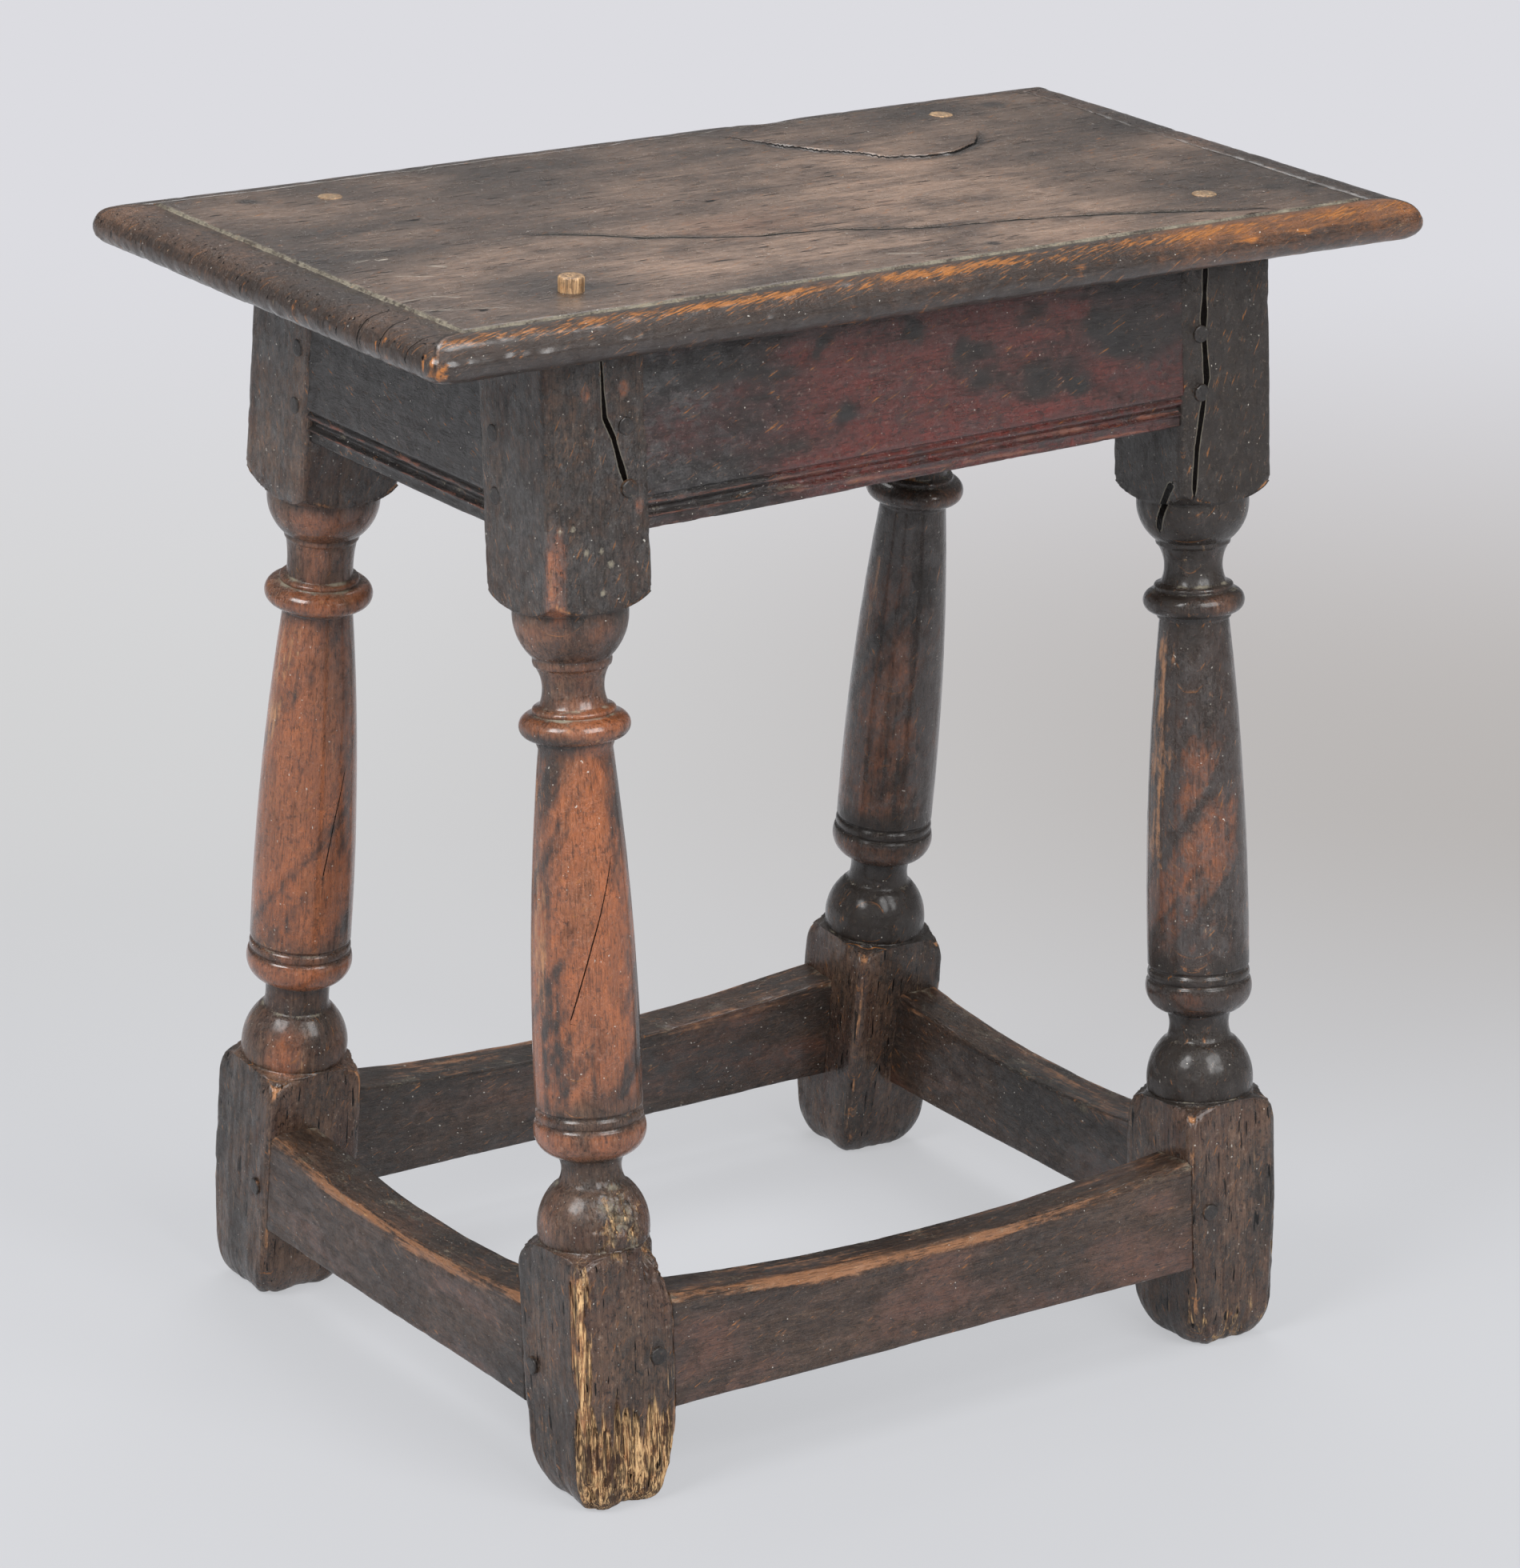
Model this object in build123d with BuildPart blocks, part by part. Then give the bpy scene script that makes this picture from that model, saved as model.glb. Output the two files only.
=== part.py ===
from build123d import *
import math
import os

# A joined oak stool, in millimetres. The origin is on the floor under the middle of the seat.
# X runs along the stool, Y across it with the front at -Y, and Z is up. The legs are raked
# outwards across the stool and are upright along it. Every joint is a mortise and tenon
# locked by round pegs, and nothing is glued or nailed.

ENDS = {"left": -1, "right": 1}
SIDES = {"front": -1, "back": 1}

# Overall sizes
seat_height = 520
seat_length = 516
seat_width = 286
seat_thickness = 18
leg_stock = 51
leg_pitch = 329  # between leg centres, along the stool
leg_spread_at_seat = 178  # between leg centres, across the stool, under the seat board
leg_spread_at_floor = 273

# Seat board: a thumb moulding on all four edges, inside which a line is scratched
thumb_on_ends = 23.5
thumb_on_sides = 18
thumb_drop = 0.6  # from the flat top down to the inner edge of the thumb
nose_height = 8  # from the underside up to the furthest point of the edge, and the round between
nose_radius = 6  # where the thumb turns down into the edge
corner_round = 10
quirk_width = 1.8
quirk_depth = 1.3

# Rails under the seat, all of one depth, and stretchers near the floor
rail_height = 82.5
rail_thickness = 24
long_stretcher_height = 52
end_stretcher_height = 49
stretcher_thickness = 27
stretcher_ease = 1.5
foot_wear = 8  # how far resting feet have hollowed the top of a stretcher in the middle
long_stretcher_lift = 39  # from the foot, measured along the leg
end_stretcher_lift = 37

# Moulding run along the lower edge of each rail: two beads with a hollow between
moulding_height = 14.5
moulding_sink = 1.8
bead_proud = 0.3  # the large bead stays this far behind the face
hollow_sink = 2.7
bead_base = 9.8
hollow_base = 7.2
band_height = 4.6

# Joints
tenon_thickness = 8
tenon_setback = 11  # from the outer face to the tenon
rail_haunch = 20  # the tenon starts this far below the rail's top
tenon_toe = 5  # and ends this far above the lower edge
tenon_parting = 2.5  # left between two tenons that come together in a leg
joint_slack = 0.15
peg_diameter = 8
peg_inset = 11  # from the shoulder to the peg's axis
peg_slack = 0.1
peg_parting = 2  # least wood left past the end of a peg
rail_peg_rise = 19.5  # from the rail's lower edge to the lower peg
rail_peg_gap = 26
peg_stagger = 4.5  # pegs of the end members sit this much lower than those of the long ones
seat_peg_diameter = 11.5
proud_peg_height = 6.5

# Each seat peg was bored by eye: its place is given from the middle of the leg top below it
seat_peg_offsets = {
    ("front", "left"): (4, -2),
    ("front", "right"): (12, 6),
    ("back", "left"): (3, 9),
    ("back", "right"): (4, 12),
}
proud_peg = ("front", "left")

# Turning, from the foot up. Heights are measured along the leg.
lower_block = 115
bulb_height = 25
bulb_widest = 6.5  # above the lower block
low_neck_height = 13
cushion_height = 15  # of its round, up to the lower of two grooves
cushion_band = 4.5  # from there to the upper groove
low_groove_height = 1.5
groove_height = 2
groove_depth = 0.9
fillet_height = 2.6
ring_height = 10.4
ring_fillet_height = 2.6  # of the small step between the ring and the neck
neck_height = 17
astragal_height = 3.4
cup_height = 19
step_height = 1  # of the sloped step over the bulb
upper_block = 114  # from the top of the leg down to the rim of the cup
pommel_low = 4.5  # drop of the lower block's rounded shoulder, from the turning to the arris
pommel_high = 8.5

# Where a round is fullest, or a neck narrowest, as a share of its height
cushion_swell = 0.55
cup_swell = 0.55
neck_pinch = 0.36
pommel_fall = 0.34  # share of a pommel's drop that comes in the inner half of its width

# Turned radii that follow the stock, and those that don't
bulb_foot_radius = leg_stock / 2 - 1.7
bulb_radius = leg_stock / 2 - 1.1
cushion_radius = leg_stock / 2 - 1.5
cushion_lip_radius = leg_stock / 2 - 2.5
column_foot_radius = leg_stock / 2 - 2.2
column_belly_radius = leg_stock / 2 - 3.8
ring_radius = leg_stock / 2 - 2.1
cup_side_radius = leg_stock / 2 - 2.2
cup_radius = leg_stock / 2 - 0.6
column_top_radius = 15.8
waist_radius = 13.6
neck_end_radius = 15.2
neck_foot_radius = 14.6
fillet_radius = 16.8
ring_fillet_radius = 17.8
astragal_radius = 17.5
cup_foot_radius = 16.4

# Worked out from the sizes above
underside = seat_height - seat_thickness
rake_run = (leg_spread_at_floor - leg_spread_at_seat) / 2
rake = math.atan2(rake_run, underside)
axis_length = underside / math.cos(rake)
half_stock = leg_stock / 2
shoulder = leg_pitch / 2 - half_stock
outer_x = leg_pitch / 2 + half_stock
blank_radius = half_stock * math.sqrt(2) + 1  # just clear of the arrises
overrun = leg_stock  # blanks are left long by this much before they are cut to length
tenon_line = half_stock - tenon_setback - tenon_thickness / 2
tenon_length = leg_stock - tenon_setback - tenon_thickness - tenon_parting
peg_length = leg_stock - peg_inset - peg_diameter / 2 - peg_parting
tenon_rise = (half_stock - tenon_setback) * math.sin(rake)  # of a long tenon's top, at its outer side
seat_peg_depth = rail_haunch * math.cos(rake) - tenon_rise - peg_parting
long_rail_bottom = axis_length - rail_height
end_rail_bottom = underside - rail_height


def raked_plane(side):
    """Plane across the feet of one pair of legs: X along the stool, Z up the legs."""
    foot_line = (0, side * leg_spread_at_floor / 2, 0)
    return Plane(origin=foot_line, x_dir=(1, 0, 0), z_dir=(0, -side * rake_run, underside))


def cross_plane(side):
    """Plane through the middle of a long member, square to it: X outwards, Y up the legs."""
    raked = raked_plane(side)
    return Plane(origin=raked.origin, x_dir=raked.y_dir, z_dir=(1, 0, 0))


def face_plane(side):
    """Plane of the outer faces of one pair of legs: X along the stool, Y up the legs."""
    raked = raked_plane(side)
    origin = raked.from_local_coords((0, side * half_stock, 0))
    return Plane(origin=origin, x_dir=(1, 0, 0), z_dir=-raked.y_dir)


def end_plane(end):
    """Plane of the outer faces of the legs at one end: X across the stool, Y up."""
    return Plane.YZ.offset(end * outer_x)


def half_gap(height):
    """Half the distance between the inner faces of two raked legs at a height."""
    return leg_spread_at_floor / 2 - height * math.tan(rake) - half_stock / math.cos(rake)


def peg_heights(bottom, height, is_rail, drop=0):
    """A rail has two pegs in each joint, and a stretcher has one halfway up."""
    if is_rail:
        low = bottom + rail_peg_rise - drop
        return {"lower": low, "upper": low + rail_peg_gap}
    return {"middle": bottom + height / 2 - drop}


def tenon_span(bottom, height, is_rail):
    """Lower and upper limit of a member's tenon."""
    top_gap = rail_haunch if is_rail else tenon_toe
    return bottom + tenon_toe, bottom + height - top_gap


def long_tenon(side, bottom, top, slack=0.0, mode=Mode.ADD):
    """Tenons of a long member, or with slack and Mode.SUBTRACT the mortises for them."""
    with BuildSketch(cross_plane(side)) as section:
        with Locations((side * tenon_line, (bottom + top) / 2)):
            Rectangle(tenon_thickness + 2 * slack, top - bottom + 2 * slack)
    extrude(section.sketch, amount=shoulder + tenon_length + slack, both=True, mode=mode)


def raked_outline(x, bottom, top, reach):
    """Upright face between two raked legs, reaching into them square to the leg."""
    step = reach / math.cos(rake)
    low = half_gap(bottom) + step
    high = half_gap(top) + step
    with BuildSketch(Plane.YZ.offset(x)) as outline:
        with BuildLine():
            Polyline((-low, bottom), (low, bottom), (high, top), (-high, top), close=True)
        make_face()
    return outline.sketch


def dished_outline(plane, bottom_half, top_half, bottom, top):
    """Outer face of a stretcher, its upper edge hollowed between the legs by wear."""
    with BuildSketch(plane) as outline:
        with BuildLine():
            edge = Polyline((-top_half, top), (-bottom_half, bottom), (bottom_half, bottom), (top_half, top))
            ThreePointArc(edge @ 1, (0, top - foot_wear), edge @ 0)
        make_face()
    return outline.sketch


def ease_long_edges(stretcher):
    """Round the four edges that run from leg to leg, which are the longest."""
    fillet(stretcher.edges().sort_by(SortBy.LENGTH)[-4:], stretcher_ease)


def end_tenon(end, bottom, top, slack=0.0, mode=Mode.ADD):
    """Tenons of an end member, or with slack and Mode.SUBTRACT the mortises for them."""
    start = end * (outer_x - tenon_setback + slack)
    outline = raked_outline(start, bottom - slack, top + slack, tenon_length + slack)
    extrude(outline, amount=-end * (tenon_thickness + 2 * slack), mode=mode)


def long_peg(side, end, height, radius, depth, mode=Mode.ADD):
    """Peg, or peg hole, driven through the outer face of a leg into a long member's tenon."""
    with BuildSketch(face_plane(side)) as peg_end:
        with Locations((end * (shoulder + peg_inset), height)):
            Circle(radius)
    extrude(peg_end.sketch, amount=side * depth, mode=mode)


def end_peg(end, side, height, radius, depth, mode=Mode.ADD):
    """Peg, or peg hole, driven through the end face of a leg into an end member's tenon."""
    across = side * (half_gap(height) + peg_inset / math.cos(rake))
    with BuildSketch(end_plane(end)) as peg_end:
        with Locations((across, height)):
            Circle(radius)
    extrude(peg_end.sketch, amount=-end * depth, mode=mode)


def seat_peg(side_name, end_name, radius, bottom, top, mode=Mode.ADD):
    """Upright peg, or its hole, over one leg."""
    offset_x, offset_y = seat_peg_offsets[side_name, end_name]
    x = ENDS[end_name] * leg_pitch / 2 + offset_x
    y = SIDES[side_name] * leg_spread_at_seat / 2 + offset_y
    with BuildSketch(Plane.XY.offset(bottom)) as peg_end:
        with Locations((x, y)):
            Circle(radius)
    extrude(peg_end.sketch, amount=top - bottom, mode=mode)


def run_moulding(section, out, face, bottom):
    """Cut the two beads and the hollow into the lower edge of a rail's outer face."""

    def at(sink, rise):
        return (face - out * sink, bottom + rise)

    clear = 1
    bead_middle = (moulding_height + bead_base) / 2
    small_bead_middle = (hollow_base + band_height) / 2
    with BuildSketch(section) as cutter:
        with BuildLine():
            outside = Polyline(
                at(moulding_sink, -clear),
                at(-clear, -clear),
                at(-clear, moulding_height),
                at(moulding_sink, moulding_height),
            )
            bead = ThreePointArc(outside @ 1, at(bead_proud, bead_middle), at(moulding_sink, bead_base))
            hollow_middle = at(hollow_sink, (bead_base + hollow_base) / 2)
            hollow = ThreePointArc(bead @ 1, hollow_middle, at(moulding_sink, hollow_base))
            small_bead = at(moulding_sink / 2, small_bead_middle)
            low_bead = ThreePointArc(hollow @ 1, small_bead, at(moulding_sink, band_height))
            Line(low_bead @ 1, outside @ 0)
        make_face()
    extrude(cutter.sketch, amount=seat_length, both=True, mode=Mode.SUBTRACT)


def turned_half(plane):
    """Half section of what the lathe leaves, wider than the blank where that stays square."""
    bulb_top = lower_block + bulb_height
    cushion_base = bulb_top + low_neck_height
    band_base = cushion_base + cushion_height
    cushion_top = band_base + cushion_band
    column_foot = cushion_top + groove_height
    cup_top = axis_length - upper_block
    cup_base = cup_top - cup_height
    astragal_base = cup_base - astragal_height
    neck_base = astragal_base - neck_height
    ring_top = neck_base - ring_fillet_height
    ring_base = ring_top - ring_height
    column_top = ring_base - fillet_height
    with BuildSketch(plane) as half:
        with BuildLine():
            foot = Polyline((0, -overrun), (blank_radius, -overrun), (blank_radius, lower_block - pommel_low))
            pommel = ThreePointArc(
                foot @ 1,
                ((blank_radius + bulb_foot_radius) / 2, lower_block - pommel_low * pommel_fall),
                (bulb_foot_radius, lower_block),
            )
            bulb_side = ThreePointArc(
                pommel @ 1,
                (bulb_radius, lower_block + bulb_widest),
                (fillet_radius, bulb_top),
            )
            low_step = Line(bulb_side @ 1, (neck_end_radius, bulb_top + step_height))
            low_neck = ThreePointArc(
                low_step @ 1,
                (waist_radius, bulb_top + low_neck_height / 2),
                (neck_end_radius, cushion_base),
            )
            cushion = ThreePointArc(
                low_neck @ 1,
                (cushion_radius, cushion_base + cushion_height * cushion_swell),
                (cushion_lip_radius, band_base),
            )
            band = Polyline(
                cushion @ 1,
                (cushion_lip_radius - groove_depth, band_base + low_groove_height / 2),
                (cushion_lip_radius, band_base + low_groove_height),
                (cushion_lip_radius, cushion_top),
            )
            groove = Polyline(
                band @ 1,
                (column_foot_radius - groove_depth, cushion_top + groove_height / 2),
                (column_foot_radius, column_foot),
            )
            column = ThreePointArc(
                groove @ 1,
                (column_belly_radius, (column_foot + column_top) / 2),
                (column_top_radius, column_top),
            )
            fillet_under_ring = Polyline(column @ 1, (fillet_radius, column_top), (fillet_radius, ring_base))
            ring = ThreePointArc(
                fillet_under_ring @ 1,
                (ring_radius, ring_base + ring_height / 2),
                (ring_fillet_radius, ring_top),
            )
            ring_fillet = Line(ring @ 1, (ring_fillet_radius, neck_base))
            neck = ThreePointArc(
                (neck_foot_radius, neck_base),
                (waist_radius, neck_base + neck_height * neck_pinch),
                (neck_end_radius, astragal_base),
            )
            Line(ring_fillet @ 1, neck @ 0)
            astragal = ThreePointArc(
                neck @ 1,
                (astragal_radius, astragal_base + astragal_height / 2),
                (cup_foot_radius, cup_base),
            )
            cup = ThreePointArc(
                astragal @ 1,
                (cup_side_radius, cup_base + cup_height * cup_swell),
                (cup_radius, cup_top),
            )
            high_pommel = ThreePointArc(
                cup @ 1,
                ((blank_radius + cup_radius) / 2, cup_top + pommel_high * pommel_fall),
                (blank_radius, cup_top + pommel_high),
            )
            Polyline(
                high_pommel @ 1,
                (blank_radius, axis_length + overrun),
                (0, axis_length + overrun),
                foot @ 0,
            )
        make_face()
    return half.sketch


def finish(piece, name):
    """Name a piece and write it out."""
    piece.part.label = name
    export_step(piece.part, f"parts/{name}.step")


def make_seat_board():
    """Board whose section is run along and across, so that the thumbs mitre at the corners."""

    def thumbed_section(plane, half_width, thumb):
        nose = underside + nose_height
        thumb_top = seat_height - thumb_drop
        inner = half_width - thumb
        # The wide arc starts level at the inner edge and runs smoothly into the nose's small one
        run = thumb - nose_radius
        fall = thumb_top - nose
        wide_radius = (run**2 + fall**2 - nose_radius**2) / (2 * (fall - nose_radius))
        turn = math.degrees(math.atan2(wide_radius - fall, run))
        with BuildSketch(plane) as section:
            with BuildLine():
                bottom = Line((0, underside), (half_width - nose_height, underside))
                CenterArc((half_width - nose_height, nose), nose_height, -90, 90)
                CenterArc((half_width - nose_radius, nose), nose_radius, 0, turn)
                CenterArc((inner, thumb_top - wide_radius), wide_radius, turn, 90 - turn)
                rim = Line((inner, thumb_top), (inner, seat_height))
                Polyline(rim @ 1, (0, seat_height), bottom @ 0)
            make_face()
            mirror(about=Plane.YZ)
        return section.sketch

    with BuildPart() as board:
        with BuildSketch(Plane.XY.offset(underside)):
            RectangleRounded(seat_length, seat_width, corner_round)
        extrude(amount=seat_thickness)
        side_section = thumbed_section(Plane.YZ, seat_width / 2, thumb_on_sides)
        extrude(side_section, amount=seat_length, both=True, mode=Mode.INTERSECT)
        end_section = thumbed_section(Plane.XZ, seat_length / 2, thumb_on_ends)
        extrude(end_section, amount=seat_width, both=True, mode=Mode.INTERSECT)
        with BuildSketch(Plane.XY.offset(seat_height)):
            flat_length = seat_length - 2 * thumb_on_ends
            flat_width = seat_width - 2 * thumb_on_sides
            Rectangle(flat_length, flat_width)
            Rectangle(flat_length - 2 * quirk_width, flat_width - 2 * quirk_width, mode=Mode.SUBTRACT)
        extrude(amount=-quirk_depth, mode=Mode.SUBTRACT)
        for side_name, end_name in seat_peg_offsets:
            bore = seat_peg_diameter / 2 + peg_slack
            seat_peg(side_name, end_name, bore, underside, seat_height, Mode.SUBTRACT)
    finish(board, "seat_board")


def make_leg(side_name, end_name):
    """Square blank, turned between its two blocks, cut level at both ends and mortised."""
    side = SIDES[side_name]
    end = ENDS[end_name]
    raked = raked_plane(side)
    foot = raked.from_local_coords((end * leg_pitch / 2, 0, 0))
    with BuildPart() as leg:
        with BuildSketch(raked.offset(-overrun)):
            with Locations((end * leg_pitch / 2, 0)):
                Rectangle(leg_stock, leg_stock)
        extrude(amount=axis_length + 2 * overrun)
        lathe_plane = Plane(origin=foot, x_dir=(1, 0, 0), z_dir=-raked.y_dir)
        revolve(turned_half(lathe_plane), axis=Axis(foot, raked.z_dir), mode=Mode.INTERSECT)
        split(bisect_by=Plane.XY, keep=Keep.TOP)
        split(bisect_by=Plane.XY.offset(underside), keep=Keep.BOTTOM)
        for bottom, height, is_rail in LONG_MEMBERS.values():
            long_tenon(side, *tenon_span(bottom, height, is_rail), joint_slack, Mode.SUBTRACT)
            for level in peg_heights(bottom, height, is_rail).values():
                bore = peg_diameter / 2 + peg_slack
                long_peg(side, end, level, bore, peg_length + peg_slack, Mode.SUBTRACT)
        for bottom, height, is_rail in END_MEMBERS.values():
            end_tenon(end, *tenon_span(bottom, height, is_rail), joint_slack, Mode.SUBTRACT)
            for level in peg_heights(bottom, height, is_rail, peg_stagger).values():
                bore = peg_diameter / 2 + peg_slack
                end_peg(end, side, level, bore, peg_length + peg_slack, Mode.SUBTRACT)
        bore = seat_peg_diameter / 2 + peg_slack
        floor_of_bore = underside - seat_peg_depth - peg_slack
        seat_peg(side_name, end_name, bore, floor_of_bore, underside, Mode.SUBTRACT)
    finish(leg, f"leg_{side_name}_{end_name}")


def make_long_member(kind, side_name):
    """Front or back rail or stretcher, in the raked plane of its legs, with its tenons."""
    side = SIDES[side_name]
    bottom, height, is_rail = LONG_MEMBERS[kind]
    with BuildPart() as member:
        if is_rail:
            with BuildSketch(cross_plane(side)):
                with Locations((side * (half_stock - rail_thickness / 2), bottom + height / 2)):
                    Rectangle(rail_thickness, height + overrun)
            extrude(amount=shoulder, both=True)
            split(bisect_by=Plane.XY.offset(underside), keep=Keep.BOTTOM)
            split(bisect_by=raked_plane(side).offset(bottom), keep=Keep.TOP)
            run_moulding(cross_plane(side), side, side * half_stock, bottom)
        else:
            outline = dished_outline(face_plane(side), shoulder, shoulder, bottom, bottom + height)
            extrude(outline, amount=side * stretcher_thickness)
            ease_long_edges(member)
        long_tenon(side, *tenon_span(bottom, height, is_rail))
        for level in peg_heights(bottom, height, is_rail).values():
            for end in ENDS.values():
                bore = peg_diameter / 2 + peg_slack
                long_peg(side, end, level, bore, leg_stock, Mode.SUBTRACT)
    finish(member, f"{kind}_{side_name}")


def make_end_member(kind, end_name):
    """Left or right rail or stretcher: upright, with raked shoulders, and its tenons."""
    end = ENDS[end_name]
    bottom, height, is_rail = END_MEMBERS[kind]
    top = bottom + height
    with BuildPart() as member:
        if is_rail:
            outline = raked_outline(end * outer_x, bottom, top, 0)
            extrude(outline, amount=-end * rail_thickness)
            run_moulding(Plane.XZ, end, end * outer_x, bottom)
        else:
            outline = dished_outline(end_plane(end), half_gap(bottom), half_gap(top), bottom, top)
            extrude(outline, amount=-end * stretcher_thickness)
            ease_long_edges(member)
        end_tenon(end, *tenon_span(bottom, height, is_rail))
        for level in peg_heights(bottom, height, is_rail, peg_stagger).values():
            for side in SIDES.values():
                bore = peg_diameter / 2 + peg_slack
                end_peg(end, side, level, bore, leg_stock, Mode.SUBTRACT)
    finish(member, f"{kind}_{end_name}")


def make_pegs():
    """All the pegs of the frame, one piece each, their outer ends level with the leg."""
    radius = peg_diameter / 2
    for side_name, side in SIDES.items():
        for end_name, end in ENDS.items():
            for kind, (bottom, height, is_rail) in LONG_MEMBERS.items():
                for place, level in peg_heights(bottom, height, is_rail).items():
                    with BuildPart() as peg:
                        long_peg(side, end, level, radius, peg_length)
                    finish(peg, f"peg_{kind}_{side_name}_{end_name}_{place}")
            for kind, (bottom, height, is_rail) in END_MEMBERS.items():
                for place, level in peg_heights(bottom, height, is_rail, peg_stagger).items():
                    with BuildPart() as peg:
                        end_peg(end, side, level, radius, peg_length)
                    finish(peg, f"peg_{kind}_{end_name}_{side_name}_{place}")


def make_seat_pegs():
    """Four pegs through the seat board into the leg tops. One has crept up out of its hole."""
    for side_name, end_name in seat_peg_offsets:
        rise = proud_peg_height if (side_name, end_name) == proud_peg else 0
        with BuildPart() as peg:
            bottom = underside - seat_peg_depth
            seat_peg(side_name, end_name, seat_peg_diameter / 2, bottom, seat_height + rise)
        finish(peg, f"seat_peg_{side_name}_{end_name}")


# Lower edge, height and whether it is a rail, for each kind of member
LONG_MEMBERS = {
    "rail": (long_rail_bottom, rail_height, True),
    "stretcher": (long_stretcher_lift, long_stretcher_height, False),
}
END_MEMBERS = {
    "rail": (end_rail_bottom, rail_height, True),
    "stretcher": (end_stretcher_lift, end_stretcher_height, False),
}

os.makedirs("parts", exist_ok=True)
make_seat_board()
for side_name in SIDES:
    for end_name in ENDS:
        make_leg(side_name, end_name)
for kind in LONG_MEMBERS:
    for side_name in SIDES:
        make_long_member(kind, side_name)
for kind in END_MEMBERS:
    for end_name in ENDS:
        make_end_member(kind, end_name)
make_pegs()
make_seat_pegs()
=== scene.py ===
# %% [markdown]
# # A joined oak stool
#
# The stool is a frame of four raked legs, turned between square blocks, with rails under the seat and
# stretchers near the floor. Every joint is a mortise and tenon held by round oak pegs, and four more
# pegs hold the seat board down. The frame of the stool is loaded first, as packed from its CAD model.
# Every surface below is laid over one of its nodes, so its main sizes are read from it.

# %% Load the frame and keep its box
import math
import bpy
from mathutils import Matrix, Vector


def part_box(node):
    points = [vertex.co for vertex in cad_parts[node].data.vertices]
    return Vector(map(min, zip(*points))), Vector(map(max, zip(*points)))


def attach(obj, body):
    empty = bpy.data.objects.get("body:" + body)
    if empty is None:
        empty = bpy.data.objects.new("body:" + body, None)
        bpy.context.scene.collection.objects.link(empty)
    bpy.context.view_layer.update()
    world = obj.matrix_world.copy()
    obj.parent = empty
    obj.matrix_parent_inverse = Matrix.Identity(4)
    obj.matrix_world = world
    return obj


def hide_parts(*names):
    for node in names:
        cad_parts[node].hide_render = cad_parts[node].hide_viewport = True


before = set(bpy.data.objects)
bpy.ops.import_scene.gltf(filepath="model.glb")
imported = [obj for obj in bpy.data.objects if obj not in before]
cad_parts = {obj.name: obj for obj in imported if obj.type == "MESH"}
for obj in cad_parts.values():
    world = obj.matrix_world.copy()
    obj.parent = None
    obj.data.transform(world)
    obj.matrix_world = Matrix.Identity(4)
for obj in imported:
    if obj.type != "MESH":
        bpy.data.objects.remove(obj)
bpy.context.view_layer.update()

from types import SimpleNamespace

import bpy
import numpy as np
from mathutils import Matrix, Vector

# %% [markdown]
# ## Sizes from the frame
#
# Shapes are worked out in millimetres and put into meshes in metres. The rake of the legs follows from
# the box of one leg: its depth from front to back is the run of the rake plus the slanted stock. That
# depth holds the slope on both sides of the equation, so the slope is found by a few rounds of it.

# %% Read the stool's sizes
METRE = 0.001


def node_box(node):
    """Lowest and highest corner of a CAD node, in millimetres."""
    return [np.array(corner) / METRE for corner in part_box(node)]


LEG_BOX = node_box("leg_front_left")
BOARD_BOX = node_box("seat_board")
UNDERSIDE = BOARD_BOX[0][2]
SEAT_TOP = BOARD_BOX[1][2]
STOCK = LEG_BOX[1][0] - LEG_BOX[0][0]
HALF = STOCK / 2
LEG_X = -(LEG_BOX[0][0] + LEG_BOX[1][0]) / 2
FIRST_GUESS, ROUNDS = 0.1, 8
slope = FIRST_GUESS
for _ in range(ROUNDS):
    slope = (LEG_BOX[1][1] - LEG_BOX[0][1] - STOCK * math.hypot(1, slope)) / UNDERSIDE
RAKE = math.atan(slope)
SIN, COS, TAN = math.sin(RAKE), math.cos(RAKE), math.tan(RAKE)
LEG_Y = -LEG_BOX[0][1] - HALF / COS
AXIS = UNDERSIDE / COS
SIDES = {"front": -1, "back": 1}
ENDS = {"left": -1, "right": 1}
print(f"rake {math.degrees(RAKE):.2f} degrees, foot centres {2 * LEG_X:.0f} by {2 * LEG_Y:.0f} mm")

# %% [markdown]
# ## Camera
#
# The camera looks over the front left leg, from a little above the seat. Its place is given as a
# direction and a distance from a point in the middle of the stool, which is easier to adjust than
# three coordinates, and the lens is long, so that the uprights hardly converge.

# %% Aim the camera
IMAGE_SIZE = (1900, 1960)
FOCAL_PIXELS = 7690.5
VIEW_AZIMUTH, VIEW_ELEVATION, VIEW_ROLL = (math.radians(a) for a in (-35.233, 18.818, 1.472))
VIEW_DISTANCE = 2.7597
VIEW_TARGET = Vector((0.0045, 0, 0.2513))


def direction(azimuth, elevation):
    """Unit vector from the stool towards an azimuth, counted from the front, and an elevation."""
    level = math.cos(elevation)
    return Vector((math.sin(azimuth) * level, -math.cos(azimuth) * level, math.sin(elevation)))


def aimed(place, target, roll=0.0):
    """Matrix of a camera or lamp at a place, looking at a target, its top upwards but for the roll."""
    back = (place - target).normalized()
    right = Vector((0, 0, 1)).cross(back).normalized()
    up = back.cross(right)
    turned_right = right * math.cos(roll) + up * math.sin(roll)
    turned_up = up * math.cos(roll) - right * math.sin(roll)
    return Matrix.Translation(place) @ Matrix((turned_right, turned_up, back)).transposed().to_4x4()


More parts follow.
